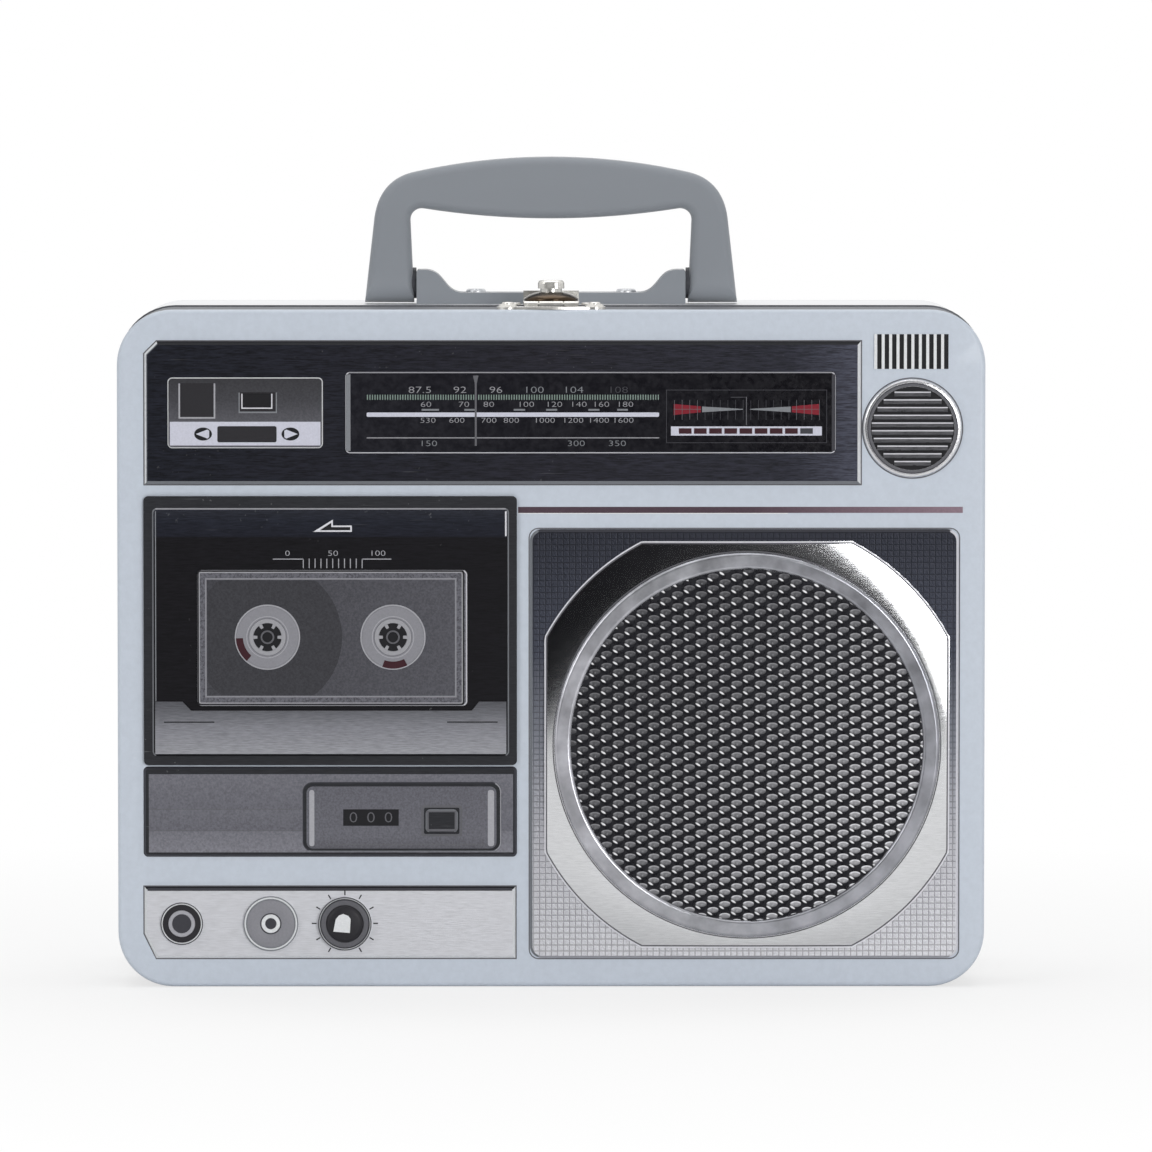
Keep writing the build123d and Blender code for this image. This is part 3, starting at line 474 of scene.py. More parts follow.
def panel_looks(tint):
    """Finishes of the painted and printed panels by name."""
    black = tones((-103.0, 28, 31, 42), (0.0, tint.black), (60.0, 46, 47, 58), (78.0, 78, 80, 94))
    gloss = tones((-52.0, tint.gloss), (72.0, 20, 19, 24))
    program = tones((137.0, 96, 96, 102), (143.8, 90, 90, 96), (149.0, 68, 68, 73), (155.0, 56, 56, 60))
    door = tones((59.0, 20, 19, 24), (114.3, 19, 18, 23), (114.7, 29, 31, 42), (118.5, 34, 37, 48),
                 (122.0, 46, 48, 57))
    sill = tones((59.0, 160, 161, 167), (66.0, 136, 137, 144), (70.0, 105, 106, 112), (73.0, 84, 85, 91))
    counter = tones((34.0, 132, 132, 140), (39.6, 122, 122, 130), (40.0, 108, 108, 116),
                    (45.1, 114, 114, 122), (45.5, 110, 110, 118), (54.0, 118, 118, 126))
    counter_glass = tones((35.0, 96, 96, 103), (38.5, 110, 110, 118), (51.0, 104, 104, 112))
    # painted reflection: the plate is light near its foot and dark towards its top, as a mirrored floor would
    # make it
    plate = tones((7.0, 208, 208, 213), (30.0, 186, 186, 192), (62.0, 118, 121, 130), (85.0, 62, 65, 77),
                  (117.0, 38, 40, 50))
    cassette = tones((-88.0, 70, 70, 76), (-24.0, 88, 88, 95))
    # along Y, from the top of the dial panel down to the field of the face: dark at the top and white lower
    # down, a painted highlight on the rounded edge
    dial_edge = tones((-40.5, 34, 36, 46), (-40.2, 60, 62, 72), (-39.9, tint.white), (-39.3, tint.white))
    stripe = tones((-8.0, tint.maroon), (50.0, tint.maroon), (104.0, 140, 118, 130))
    return {
        "paint": look("pale_paint", tint.paint, roughness=0.42, depth=0.05, bump=0.08, wear=0.1, coat=0.1),
        "black": look("brushed_black", black, metallic=0.3, roughness=0.42, grain=BRUSHED, depth=0.7,
                      rough_spread=0.2, bump=0.2, wear=0.07, shine=0.2, axis="X"),
        "gloss": look("gloss_black", gloss, roughness=0.2, depth=0.3, bump=0.03, coat=0.15, shine=0.2,
                      axis="X"),
        "program": look("program_grey", program, grain=SPECK, depth=0.25, bump=0.08, shine=0.2),
        "charcoal": look("charcoal_print", tint.charcoal, roughness=0.42, grain=BRUSHED, depth=0.3, wear=0.12,
                         shine=0.15),
        "door": look("door_black", door, roughness=0.45, grain=BRUSHED, depth=0.5, bump=0.12, wear=0.1,
                     shine=0.12),
        "silver": look("brushed_silver", tint.silver, metallic=0.35, roughness=0.38, grain=BRUSHED,
                       depth=0.12, rough_spread=0.2, bump=0.2, wear=0.1),
        "sill": look("sill_silver", sill, metallic=0.3, roughness=0.38, grain=BRUSHED, depth=0.3,
                     rough_spread=0.2, bump=0.2),
        "counter": look("counter_grey", counter, metallic=0.2, roughness=0.45, grain=SPECK, depth=0.3,
                        bump=0.15, shine=0.2),
        "counter_glass": look("counter_glass", counter_glass, metallic=0.2, grain=SPECK, depth=0.3, bump=0.15,
                              shine=0.2),
        "plate": look("hatched_plate_painted_reflection", plate, metallic=0.55, roughness=0.34, grain=SPECK, depth=0.15,
                      bump=0.25, hatch=0.00152),
        # dark plastic of the discs at the handle's pivot: a washer and painted shade in the gap beside it
        "collar": look("dark_plastic_for_gap_shade", shade(70, 72, 78), bump=0.05),
        "rib": look("rib_grey", shade(86, 86, 90), metallic=0.3, roughness=0.3, grain=BRUSHED, depth=0.3),
        "speckled": look("cassette_inside", cassette, grain=SPECK, depth=0.35, shine=0.2, axis="X"),
        "tape": look("tape_roll", shade(61, 61, 66), grain=SPECK, depth=0.3, shine=0.2),
        "dial_edge": look("dial_edge", dial_edge, roughness=0.3, depth=0.1, bump=0.02, axis="Y"),
        "maroon": look("maroon_print", stripe, roughness=0.42, grain=SPECK, depth=0.15, bump=0.05, shine=0.2,
                       axis="X"),
        "glass": look("cassette_bevel", shade(106, 106, 114), roughness=0.3, grain=SPECK, depth=0.5,
                      shine=0.3),
    }


def looks():
    """Finishes of the case by name, made from the colours of the scene."""
    tint = bpy.context.scene.tin_colours
    made = {**metal_looks(tint), **panel_looks(tint)}
    made["plastic"] = plastic_look(tint.plastic)
    made["grille"] = grille_look()
    # flat colours of printed marks; several also serve as painted highlights and painted shade on raised
    # edges, rims and ribs
    inks_and_painted_lights = {
        "white": tint.white,
        "line": shade(218, 218, 224),
        "pale": shade(168, 168, 174),
        "grey": tint.grey,
        "dim": shade(62, 62, 68),
        "dark": shade(42, 41, 45),
        "ink": shade(24, 24, 28),
        "scale": shade(152, 152, 157),
        "mid": shade(98, 98, 103),
        "green": tint.green,
        "red": tint.red,
        "tab": shade(58, 24, 33),
        "reel": shade(138, 138, 144),
        "reel_light": shade(158, 158, 163),
        "lavender": tint.lavender,
    }
    for name, ink in inks_and_painted_lights.items():
        made[name] = look(name + "_print", ink, roughness=0.42, grain=SPECK, depth=0.1, bump=0.05, shine=0.2)
    return made


def front(outline, level):
    """Points of an outline in X and Z, in millimetres, set at a height above the field of the face."""
    outline = np.asarray(outline, float)
    depth = np.full(len(outline), bpy.context.scene.tin_sizes.face_y - level * MM)
    return np.stack([outline[:, 0] * MM, depth, outline[:, 1] * MM], axis=1)


def rounded(left, right, low, high, radius=0.0, steps=5):
    """Outline of a rectangle: four quarter circles of the radius, joined in order round the shape."""
    if radius == 0.0:
        return np.array([(left, low), (right, low), (right, high), (left, high)], float)
    quarter = np.linspace(0.0, math.pi / 2.0, steps)
    corners = []
    for x, z, start in (
        (right - radius, high - radius, 0.0),
        (left + radius, high - radius, 0.5),
        (left + radius, low + radius, 1.0),
        (right - radius, low + radius, 1.5),
    ):
        turn = start * math.pi + quarter
        corners.append(np.stack([x + radius * np.cos(turn), z + radius * np.sin(turn)], axis=1))
    return np.concatenate(corners)


def circle(x, z, radius, steps=48):
    """Outline of a circle: the radius turned through equal angles about its middle."""
    turn = np.arange(steps) * FULL_TURN / steps
    return np.stack([x + radius * np.cos(turn), z + radius * np.sin(turn)], axis=1)


def spoke(x, z, turn, near, far, near_half, far_half):
    """Outline of a short bar that points away from a middle: two radii, each with its half width."""
    along = np.array([math.cos(turn), math.sin(turn)])
    across = np.array([-along[1], along[0]])
    corners = ((near, -near_half), (far, -far_half), (far, far_half), (near, near_half))
    return np.array([along * away + across * wide for away, wide in corners]) + (x, z)


def skin(rings, finish, closed=False):
    """Surface over a grid: each ring of points is joined to the next, and end rings are capped."""
    rings = np.asarray(rings, float)
    count, around = rings.shape[:2]
    index = np.arange(count * around).reshape(count, around)
    near = index if closed else index[:-1]
    far = np.roll(index, -1, axis=0) if closed else index[1:]
    quads = np.stack([near, np.roll(near, -1, axis=1), np.roll(far, -1, axis=1), far], axis=-1)
    faces = quads.reshape(-1, 4).tolist()
    if not closed:
        faces += [index[0][::-1].tolist(), index[-1].tolist()]
    return rings.reshape(-1, 3), faces, finish


def print_height():
    """Thickness of a printed mark, in millimetres."""
    return bpy.context.scene.tin_sizes.print_height / MM


def slab(outline, level, finish, height=None):
    """Flat mark: an outline carried straight out from the face by its height, in millimetres."""
    top = level + (print_height() if height is None else height)
    return skin([front(outline, level), front(outline, top)], finish)


def bar(left, right, low, high, level, finish, height=None):
    """Flat rectangular mark."""
    return slab(rounded(left, right, low, high), level, finish, height)


def border(outer, inner, level, finish, height=None):
    """Flat line round a shape: the strip between two outlines carried out from the face."""
    top = level + (print_height() if height is None else height)
    rings = [front(outer, level), front(outer, top), front(inner, top), front(inner, level)]
    return skin(rings, finish, closed=True)


def lathe(x, z, profile, finish, closed=False, steps=56):
    """Round form: pairs of radius and height turned about an axis that stands out from the face."""
    return skin([front(circle(x, z, radius, steps), level) for radius, level in profile], finish, closed)


def bead(x, z, radii, level, rise, finish):
    """Round bead: its outer foot, outer crown, inner crown and inner foot, turned about its middle."""
    heights = (level, level + rise, level + rise, level)
    return lathe(x, z, list(zip(radii, heights)), finish, closed=True)


def digits(text, x, z, height, level, finish, width=1.0):
    """A plain number drawn with the built-in font, made a mesh and set with its middle at a place."""
    drawn = bpy.data.curves.new("digits", "FONT")
    drawn.body = text
    drawn.align_x = "CENTER"
    drawn.align_y = "CENTER"
    drawn.resolution_u = 3
    half_depth = 0.5
    drawn.extrude = half_depth
    # thinner strokes than the font's own
    drawn.offset = -0.014
    holder = bpy.data.objects.new("digits", drawn)
    bpy.context.scene.collection.objects.link(holder)
    made = bpy.data.meshes.new_from_object(holder.evaluated_get(bpy.context.evaluated_depsgraph_get()))
    points = np.zeros(len(made.vertices) * 3)
    made.vertices.foreach_get("co", points)
    faces = [list(p.vertices) for p in made.polygons]
    bpy.data.objects.remove(holder)
    bpy.data.curves.remove(drawn)
    bpy.data.meshes.remove(made)
    points = points.reshape(-1, 3)
    # a digit of the font is 0.7 of its size high
    size = height / 0.7
    placed = front(np.stack([x + points[:, 0] * size * width, z + points[:, 1] * size], axis=1), level)
    placed[:, 1] -= (points[:, 2] + half_depth) * print_height() * MM
    return placed, faces, finish


def merge_points(mesh, distance, turn_out):
    """Merge points that lie together, and where asked turn every face outwards."""
    shell = bmesh.new()
    shell.from_mesh(mesh)
    bmesh.ops.remove_doubles(shell, verts=shell.verts, dist=distance)
    if turn_out:
        bmesh.ops.recalc_face_normals(shell, faces=shell.faces)
    shell.to_mesh(mesh)
    shell.free()


def give_finishes(mesh, finish):
    """Give each face of a mesh the material of its finish; the finishes are names, one for each face."""
    names, numbers = np.unique(finish, return_inverse=True)
    made = looks()
    mesh.materials.clear()
    for name in names:
        mesh.materials.append(made[name])
    mesh.polygons.foreach_set("material_index", numbers.astype(np.int32))


def build(name, parts, body="lid", smooth=30.0):
    """A piece from parts that each hold points, faces and the name of a finish; it rides on a body."""
    starts = np.cumsum([0] + [len(points) for points, _, _ in parts])
    faces = [[i + start for i in face] for (_, group, _), start in zip(parts, starts) for face in group]
    mesh = bpy.data.meshes.new(name)
    mesh.from_pydata(np.concatenate([points for points, _, _ in parts]), [], faces)
    give_finishes(mesh, np.repeat([finish for _, _, finish in parts], [len(group) for _, group, _ in parts]))
    merge_points(mesh, 1e-8, turn_out=True)
    mesh.shade_smooth()
    mesh.set_sharp_from_angle(angle=math.radians(smooth))
    piece = bpy.data.objects.new(name, mesh)
    bpy.context.scene.collection.objects.link(piece)
    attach(piece, body)


def in_box(x, z, left, right, low, high):
    """Which points lie in a rectangle."""
    return (x > left) & (x < right) & (z > low) & (z < high)


def read_vectors(items, label):
    """A vector of every item of a mesh, such as its vertices' places, one row each."""
    values = np.zeros(len(items) * 3)
    items.foreach_get(label, values)
    return values.reshape(-1, 3)


class TIN_OT_finishes(Operator):
    """Give every part that is left showing its finish"""

    bl_idname = "tin.finishes"
    bl_label = "Finishes of the tin parts"

    def execute(self, context):
        made = looks()
        slot_looks = {
            "painted_tin": "paint",
            "bare_tin": "tin",
            "plated_steel": "steel",
            "grey_plastic": "plastic",
            "nickel": "nickel",
            "printed_tin": "paint",
        }
        for row in frame["record"]["subparts"]:
            node = frame["nodes"][row["node"]]
            # the lid's band takes the darkened tin of a painted dark reflection
            finish = "lid_tin" if row["node"] == "lid_band" else slot_looks[row["material_slot"]]
            node.data.materials.clear()
            node.data.materials.append(made[finish])
        return {"FINISHED"}


class TIN_OT_face(Operator):
    """Lay the printed colours, and painted highlights and shade on the raised edges, on the embossed face"""

    bl_idname = "tin.face"
    bl_label = "Printed face"

    # each form in turn: its rectangle, the height and finish of its top, and the finishes of its edges
    # the edges are in the order left, right, lower and upper; where the sides differ, the lighter ones are
    # painted highlight and the darker ones painted shade
    forms = (
        ((-103.2, 78.6, 127.6, 164.2), DIAL_LEVEL, "black", ("dial_edge", "white", "grey", "ink")),
        ((-52.3, 72.2, 135.5, 156.5), WINDOW_LEVEL, "gloss", ("line", "line", "line", "pale")),
        ((-97.3, -57.6, 136.8, 155.1), PROGRAM_LEVEL, "program", ("white", "white", "white", "white")),
        ((81.0, 101.0, 156.5, 166.3), VENT_LEVEL, "white", ("white", "white", "white", "white")),
        ((-103.5, -8.5, 56.3, 125.0), BAY_LEVEL, "charcoal", ("ink", "ink", "ink", "ink")),
        ((-101.3, -10.5, 58.6, 122.0), DOOR_LEVEL, "door", ("grey", "grey", "ink", "pale")),
        ((-89.9, -21.1, 71.4, 106.3), CASSETTE_LEVEL, "glass", ("pale", "line", "pale", "pale")),
        ((-103.7, -8.5, 32.9, 56.3), COUNTER_LEVEL, "charcoal", ("dim", "dim", "dim", "dim")),
        ((-63.3, -12.5, 34.3, 52.4), COUNTER_WINDOW_LEVEL, "charcoal", ("dim", "pale", "grey", "dim")),
        ((-32.1, -23.5, 39.2, 45.5), BUTTON_LEVEL, "charcoal", ("grey", "grey", "dim", "grey")),
        ((-103.5, -8.9, 7.1, 25.7), JACK_LEVEL, "silver", ("white", "white", "white", "ink")),
        ((-5.6, 103.5, 7.1, 116.6), PLATE_LEVEL, "plate", ("grey", "line", "pale", "dim")),
    )

    def smooth_speaker(self, mesh, on_ring, on_frame):
        """Normals of the speaker: its ring's edges are rounded, and its frame falls faster farther out."""
        corners = np.zeros(len(mesh.loops), np.int32)
        mesh.loops.foreach_get("vertex_index", corners)
        sides = np.zeros(len(mesh.polygons), np.int32)
        mesh.polygons.foreach_get("loop_total", sides)
        points = read_vectors(mesh.vertices, "co")[corners] / MM
        x = points[:, 0] - SPEAKER_X
        z = points[:, 2] - SPEAKER_Z
        away = np.hypot(x, z)
        level = bpy.context.scene.tin_sizes.face_y / MM - points[:, 1]
        outside = np.maximum(away - (RING_OUTER - RING_ROUND), 0.0)
        inside = np.minimum(away - (RING_INNER + RING_ROUND), 0.0)
        lean = outside + inside
        lift = np.where(np.abs(lean) < 1e-4, 1.0, np.maximum(level - (RING_LEVEL - RING_ROUND), 0.0))
        share = np.clip((away - RING_OUTER) / (FRAME_RADIUS - RING_OUTER), 0.0, 1.0)
        # the frame leans least beside the ring and most at its own edge, as a crowned sheet does
        frame_corners = np.repeat(on_frame, sides)
        lean = np.where(frame_corners, FRAME_SLOPE * (0.3 + 1.4 * share), lean)
        lift = np.where(frame_corners, 1.0, lift)
        normals = np.stack([lean * x / away, -lift, lean * z / away], axis=1) / np.hypot(lean, lift)[:, None]
        # a zero normal leaves the mesh's own
        normals[~np.repeat(on_ring | on_frame, sides)] = 0.0
        mesh.normals_split_custom_set(normals.tolist())

    def face_finishes(self, mesh):
        """The finish of each face by name, and which faces are on the speaker's ring and on its frame."""
        x, y, z = read_vectors(mesh.polygons, "center").T / MM
        sideways, inward, upward = read_vectors(mesh.polygons, "normal").T
        outward = -inward
        level = bpy.context.scene.tin_sizes.face_y / MM - y
        # a face within this distance of a height lies at it, in millimetres
        near = 0.02
        # slack of a height that a face has to be above or below, in millimetres
        slack = 0.01
        # shares of a normal: outward on a flat face, sideways on a side edge, back on the inside of the sheet
        straight = 0.99
        slanting = 0.3
        backward = -0.05
        proud = (level > slack) & (outward > backward)
        facing = outward > straight
        finish = np.full(len(x), "paint", dtype="<U16")
        for box, top, top_finish, (left, right, low, high) in self.forms:
            # a high form stands on a lower one, and its edges start no lower than this
            lowest = slack if top < COUNTER_WINDOW_LEVEL else BAY_LEVEL - slack
            here = proud & in_box(x, z, *box) & (level > lowest)
            flat = (np.abs(level - top) < near) & facing
            edge = here & ~flat & (level < top + slack)
            # each edge takes the finish of its side, which paints highlight and shade on the raised edges
            sides = np.where(upward < 0.0, low, high)
            sides = np.where(sideways > slanting, right, np.where(sideways < -slanting, left, sides))
            finish[edge] = sides[edge]
            finish[here & flat] = top_finish
        tuner_radius = 12.8
        tuner = proud & (np.hypot(x - TUNER_X, z - TUNER_Z) < tuner_radius)
        finish[tuner] = "rim"
        finish[tuner & (np.abs(level - TUNER_LEVEL) < near) & facing] = "ink"
        socket_field = in_box(x, z, -101.0, -45.0, 8.5, 23.8)
        finish[proud & socket_field & (level > JACK_LEVEL + near)] = "edge"
        away = np.hypot(x - SPEAKER_X, z - SPEAKER_Z)
        speaker = proud & (away < FRAME_RADIUS + 0.4) & (level > PLATE_LEVEL + near)
        finish[speaker] = "frame"
        finish[speaker & (level < FRAME_LEVEL - slack) & (outward < 0.5)] = "line"
        finish[speaker & (level > GRILLE_LEVEL + 0.005) & (away < RING_OUTER + 0.3)] = "ring"
        grille = (away < RING_INNER + near) & (np.abs(level - GRILLE_LEVEL) < near)
        finish[speaker & grille] = "grille"
        finish[outward < backward] = "inside"
        return finish, finish == "ring", (finish == "frame") & (outward > 0.9)

    def execute(self, context):
        mesh = frame["nodes"]["lid_face_panel"].data.copy()
        mesh.name = "printed_face"
        merge_points(mesh, 1e-7, turn_out=False)
        if "custom_normal" in mesh.attributes:
            mesh.attributes.remove(mesh.attributes["custom_normal"])
        finish, on_ring, on_frame = self.face_finishes(mesh)
        give_finishes(mesh, finish)
        mesh.shade_smooth()
        mesh.set_sharp_from_angle(angle=math.radians(25.0))
        self.smooth_speaker(mesh, on_ring, on_frame)
        piece = bpy.data.objects.new("printed_face", mesh)
        context.scene.collection.objects.link(piece)
        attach(piece, "lid")
        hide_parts("lid_face_panel")
        return {"FINISHED"}


class TIN_OT_dial(Operator):
    """Print the scale, the needle and the level meter on the dial window"""

    bl_idname = "tin.dial"
    bl_label = "Dial window"

    def scale(self):
        """Rows of plain numbers, the ruler between them and the needle."""
        level = WINDOW_LEVEL
        # each row: its middle in Z, the height, stretch and finish of its numbers, and their places in X
        rows = [
            (151.7, 1.65, 1.5, "scale", [("87.5", -33.2), ("92", -23.1), ("96", -14.0)]),
            (151.7, 1.65, 1.5, "grey", [("100", -4.4), ("104", 5.6)]),
            (151.7, 1.65, 1.5, "dim", [("108", 16.9)]),
            (148.05, 1.36, 1.5, "scale", [("60", -31.7), ("70", -22.1), ("80", -15.8), ("100", -6.4)]),
            (148.05, 1.36, 1.5, "scale", [("120", 0.7), ("140", 6.9), ("160", 12.6), ("180", 18.7)]),
            (144.0, 1.32, 1.45, "scale", [("530", -31.2), ("600", -23.9), ("700", -15.8), ("800", -10.1)]),
            (144.0, 1.32, 1.45, "scale", [("1000", -1.7), ("1200", 5.5), ("1400", 12.0), ("1600", 18.2)]),
            (138.15, 1.45, 1.5, "grey", [("150", -31.1), ("300", 6.3), ("350", 16.7)]),
        ]
        parts = []
        for z, high, wide, finish, row in rows:
            parts += [digits(text, x, z, high, level, finish, wide) for text, x in row]
        left, right = -46.7, 27.3
        for x in np.arange(-46.5, 27.4, 0.64):
            parts.append(bar(x - 0.13, x + 0.13, 149.25, 150.55, level, "green"))
        dashes = ((-32.8, -28.4), (-22.0, -19.3), (-9.5, -6.6), (-1.3, 1.5), (9.4, 12.2), (16.7, 19.4))
        for start, end in dashes:
            parts.append(bar(start, end, 146.5, 146.95, level, "grey"))
        parts.append(slab(rounded(left, right, 144.95, 146.05, 0.3), level, "lavender"))
        parts.append(bar(left, right, 139.5, 139.75, level, "scale"))
        parts.append(bar(-52.0, -50.8, 136.3, 155.7, level, "grey"))
        parts.append(bar(71.0, 71.9, 136.3, 155.7, level, "dim"))
        needle = [(-19.35, 137.6), (-18.85, 137.6), (-18.85, 153.4),
                  (-18.4, 155.4), (-19.8, 155.4), (-19.35, 153.4)]
        parts.append(slab(needle, level, "mid", 0.09))
        return parts

    def meter(self):
        """Level meter: frame, centre line, coloured wedges, grid and bar of segments."""
        level = WINDOW_LEVEL
        middle = 49.4
        outside = rounded(29.1, 69.8, 138.3, 151.8)
        parts = [border(outside, rounded(29.25, 69.65, 138.45, 151.65), level, "dim")]
        parts.append(bar(middle - 0.1, middle + 0.1, 142.8, 150.0, level, "mid"))
        parts.append(bar(45.4, middle - 0.1, 149.8, 150.0, level, "dim"))
        # wedges to the right of the middle, which are repeated to its left
        red_wedge = np.array([(11.5, 146.1), (18.4, 145.4), (18.4, 148.2), (11.5, 147.6)])
        grey_wedge = np.array([(0.9, 146.75), (11.2, 146.1), (11.2, 147.55), (0.9, 146.95)])
        for side in (-1.0, 1.0):
            for outline, finish in ((red_wedge, "red"), (grey_wedge, "grey")):
                parts.append(slab(outline * (side, 1.0) + (middle, 0.0), level, finish))
        for x in np.arange(31.2, 68.5, 1.93):
            on_red = abs(x - middle) > 11.4
            under = level + LAYER if on_red else level
            parts.append(bar(x - 0.06, x + 0.06, 144.2, 149.2, under, "mid" if on_red else "dim", 0.02))
        for start, end in ((31.0, 37.9), (60.9, 67.8)):
            parts.append(bar(start, end, 146.8, 146.92, level + LAYER, "mid"))
        parts.append(bar(30.3, 68.5, 140.2, 142.5, level, "lavender"))
        segments = 9
        for step in range(segments):
            start = 32.3 + 3.84 * step
            finish = "tab" if step < segments - 1 else "dim"
            parts.append(bar(start, start + 3.2, 140.65, 142.05, level + LAYER, finish))
        return parts

    def execute(self, context):
        build("dial_scale", self.scale())
        build("level_meter", self.meter())
        return {"FINISHED"}


class TIN_OT_program(Operator):
    """Print the switch, the square and the arrow strip on the small panel"""

    bl_idname = "tin.program"
    bl_label = "Small panel beside the dial"

    def execute(self, context):
        level = PROGRAM_LEVEL
        parts = [
            bar(-96.5, -58.4, 137.7, 143.7, level, "lavender"),
            bar(-94.3, -85.0, 144.5, 153.4, level, "pale"),
            bar(-93.9, -85.4, 144.9, 153.5, level + LAYER, "dark"),
        ]
        # plates of the switch, each lying on the one before
        plates = [
            (-79.1, -69.4, 145.9, 151.1, "grey"),
            (-78.8, -69.7, 146.3, 151.2, "dark"),
            (-78.4, -70.55, 147.0, 150.8, "line"),
            (-78.1, -70.85, 147.3, 150.9, "ink"),
        ]
        for step, (left, right, low, high, finish) in enumerate(plates, 1):
            parts.append(bar(left, right, low, high, level + step * LAYER, finish))
        oval = circle(0.0, 0.0, 1.0) * (2.25, 1.65)
        arrow = np.array([(1.85, 0.0), (-1.1, 1.15), (-1.55, 0.8), (-1.55, -0.8), (-1.1, -1.15)])
        for middle, side in ((-88.1, -1.0), (-66.0, 1.0)):
            parts.append(slab(oval + (middle, 140.6), level + LAYER, "ink"))
            parts.append(slab(arrow * (side, 1.0) + (middle, 140.6), level + 2.0 * LAYER, "lavender"))
        parts.append(slab(rounded(-84.5, -69.5, 138.5, 142.6, 0.5), level + LAYER, "dark"))
        build("program_prints", parts)
        return {"FINISHED"}


class TIN_OT_vents(Operator):
    """Fill the gaps between the ribs by the tuning disc, and lay the stripe and the lines round two panels"""

    bl_idname = "tin.vents"
    bl_label = "Rib gaps, stripe and panel lines"

    def panel_line(self, left, right, low, high, cut_x, cut_z):
        """Outlines of a line round a panel with its upper left corner cut off: a larger one and its own."""
        outlines = []
        for grown in (0.3, 0.0):
            rest = grown * 0.4
            outlines.append(np.array([
                (left - grown, low - grown),
                (right + grown, low - grown),
                (right + grown, high + grown),
                (left + cut_x - rest, high + grown),
                (left - grown, high - cut_z + rest),
            ]))
        return outlines

    def execute(self, context):
        half = 0.58
        middles = 83.08 + 1.88 * np.arange(10)
        build("vent_gaps", [bar(x - half, x + half, 157.0, 165.8, 0.0, "ink") for x in middles])
        stripe = bar(-8.4, 104.3, 120.5, 122.05, 0.0, "maroon")
        light = bar(-8.4, 60.0, 120.25, 120.5, 0.0, "white")
        build("stripe", [stripe, light])
        dial = self.panel_line(-103.0, 78.4, 127.8, 164.0, 3.1, 3.1)
        # the lower panel has its lower left corner cut off, so its outline is turned over in Z
        jack = [outline * (1.0, -1.0) for outline in self.panel_line(-103.3, -9.1, -25.5, -7.3, 3.0, 6.3)]
        build("panel_lines", [border(*dial, 0.0, "mid"), border(*jack, 0.0, "mid")])
        return {"FINISHED"}


class TIN_OT_tuner(Operator):
    """Make the level ribs of the tuning disc, with a painted highlight along each rib and painted shade round
    its rim
    """

    bl_idname = "tin.tuner"
    bl_label = "Tuning disc ribs"

    def execute(self, context):
        reach = 10.45
        pitch = 1.952
        ribs = 10
        # offset across the rib and height over the disc, from its lower foot to its upper foot
        profile = np.array([(-0.75, 0.0), (-0.6, 0.36), (0.5, 0.42), (0.68, 0.0)])
        parts = []
        for step in range(ribs):
            offset = (step - (ribs - 1) / 2.0) * pitch
            middle = TUNER_Z + offset
            chord = math.sqrt(reach**2 - min(abs(offset) + 0.6, 9.6) ** 2)
            rings = []
            for end in (-chord, chord):
                across = np.stack([np.full(len(profile), TUNER_X + end), middle + profile[:, 0]], axis=1)
                ring = front(across, TUNER_LEVEL)
                ring[:, 1] -= profile[:, 1] * MM
                rings.append(ring)
            parts.append(skin(rings, "rib"))
            left, right = TUNER_X - chord, TUNER_X + chord
            # a painted highlight along the top of the rib
            parts.append(bar(left, right, middle + 0.22, middle + 0.5, TUNER_LEVEL + 0.41, "line"))
        # rings round the disc: their two radii, their height over the face and their finish; the line at the
        # rim's foot and the dark rings on its crown are painted shade of the rounded rim
        crown = TUNER_LEVEL + 0.6
        for outer, inner, level, finish in (
            (12.85, 12.55, 0.0, "mid"),
            (11.5, 11.25, crown, "dim"),
            (11.25, 10.62, crown, "mid"),
        ):
            outlines = [circle(TUNER_X, TUNER_Z, radius, 96) for radius in (outer, inner)]
            parts.append(border(*outlines, level, finish))
        build("tuning_ribs", parts, smooth=20.0)
        return {"FINISHED"}


class TIN_OT_door(Operator):
    """Print the door of the cassette bay: arrow, small scale and silver panel"""

    bl_idname = "tin.door"
    bl_label = "Cassette door"

    def execute(self, context):
        level = DOOR_LEVEL
        arrow = [(-60.3, 115.8), (-50.5, 115.8), (-50.5, 117.4), (-55.3, 117.4), (-55.3, 118.9)]
        inner = [(-58.6, 116.2), (-50.9, 116.2), (-50.9, 117.0), (-55.7, 117.0), (-55.7, 118.1)]
        parts = [slab(arrow, level, "line"), slab(inner, level + LAYER, "ink")]
        for text, x in (("0", -66.8), ("50", -55.3), ("100", -44.0)):
            parts.append(digits(text, x, 110.3, 1.4, level, "pale", 1.4))
        for left, right in ((-70.5, -62.7), (-48.0, -40.5)):
            parts.append(bar(left, right, 108.78, 109.0, level, "pale"))
        for x in np.linspace(-62.8, -47.9, 11):
            parts.append(bar(x - 0.11, x + 0.11, 106.6, 109.0, level, "pale"))
        sill = [(-100.4, 59.4), (-11.4, 59.4), (-11.4, 72.7), (-18.3, 72.7),
                (-20.1, 70.4), (-91.3, 70.4), (-93.5, 72.7), (-100.4, 72.7)]
        sill_height = 0.28
        parts.append(slab(sill, level, "sill", sill_height))
        for left, right in ((-98.2, -85.4), (-26.4, -13.6)):
            parts.append(bar(left, right, 67.35, 67.65, level + sill_height, "ink"))
        parts.append(bar(-100.35, -100.1, 72.8, 121.0, level, "grey"))
        parts.append(bar(-11.7, -11.3, 114.7, 121.0, level, "line"))
        build("door_prints", parts)
        return {"FINISHED"}


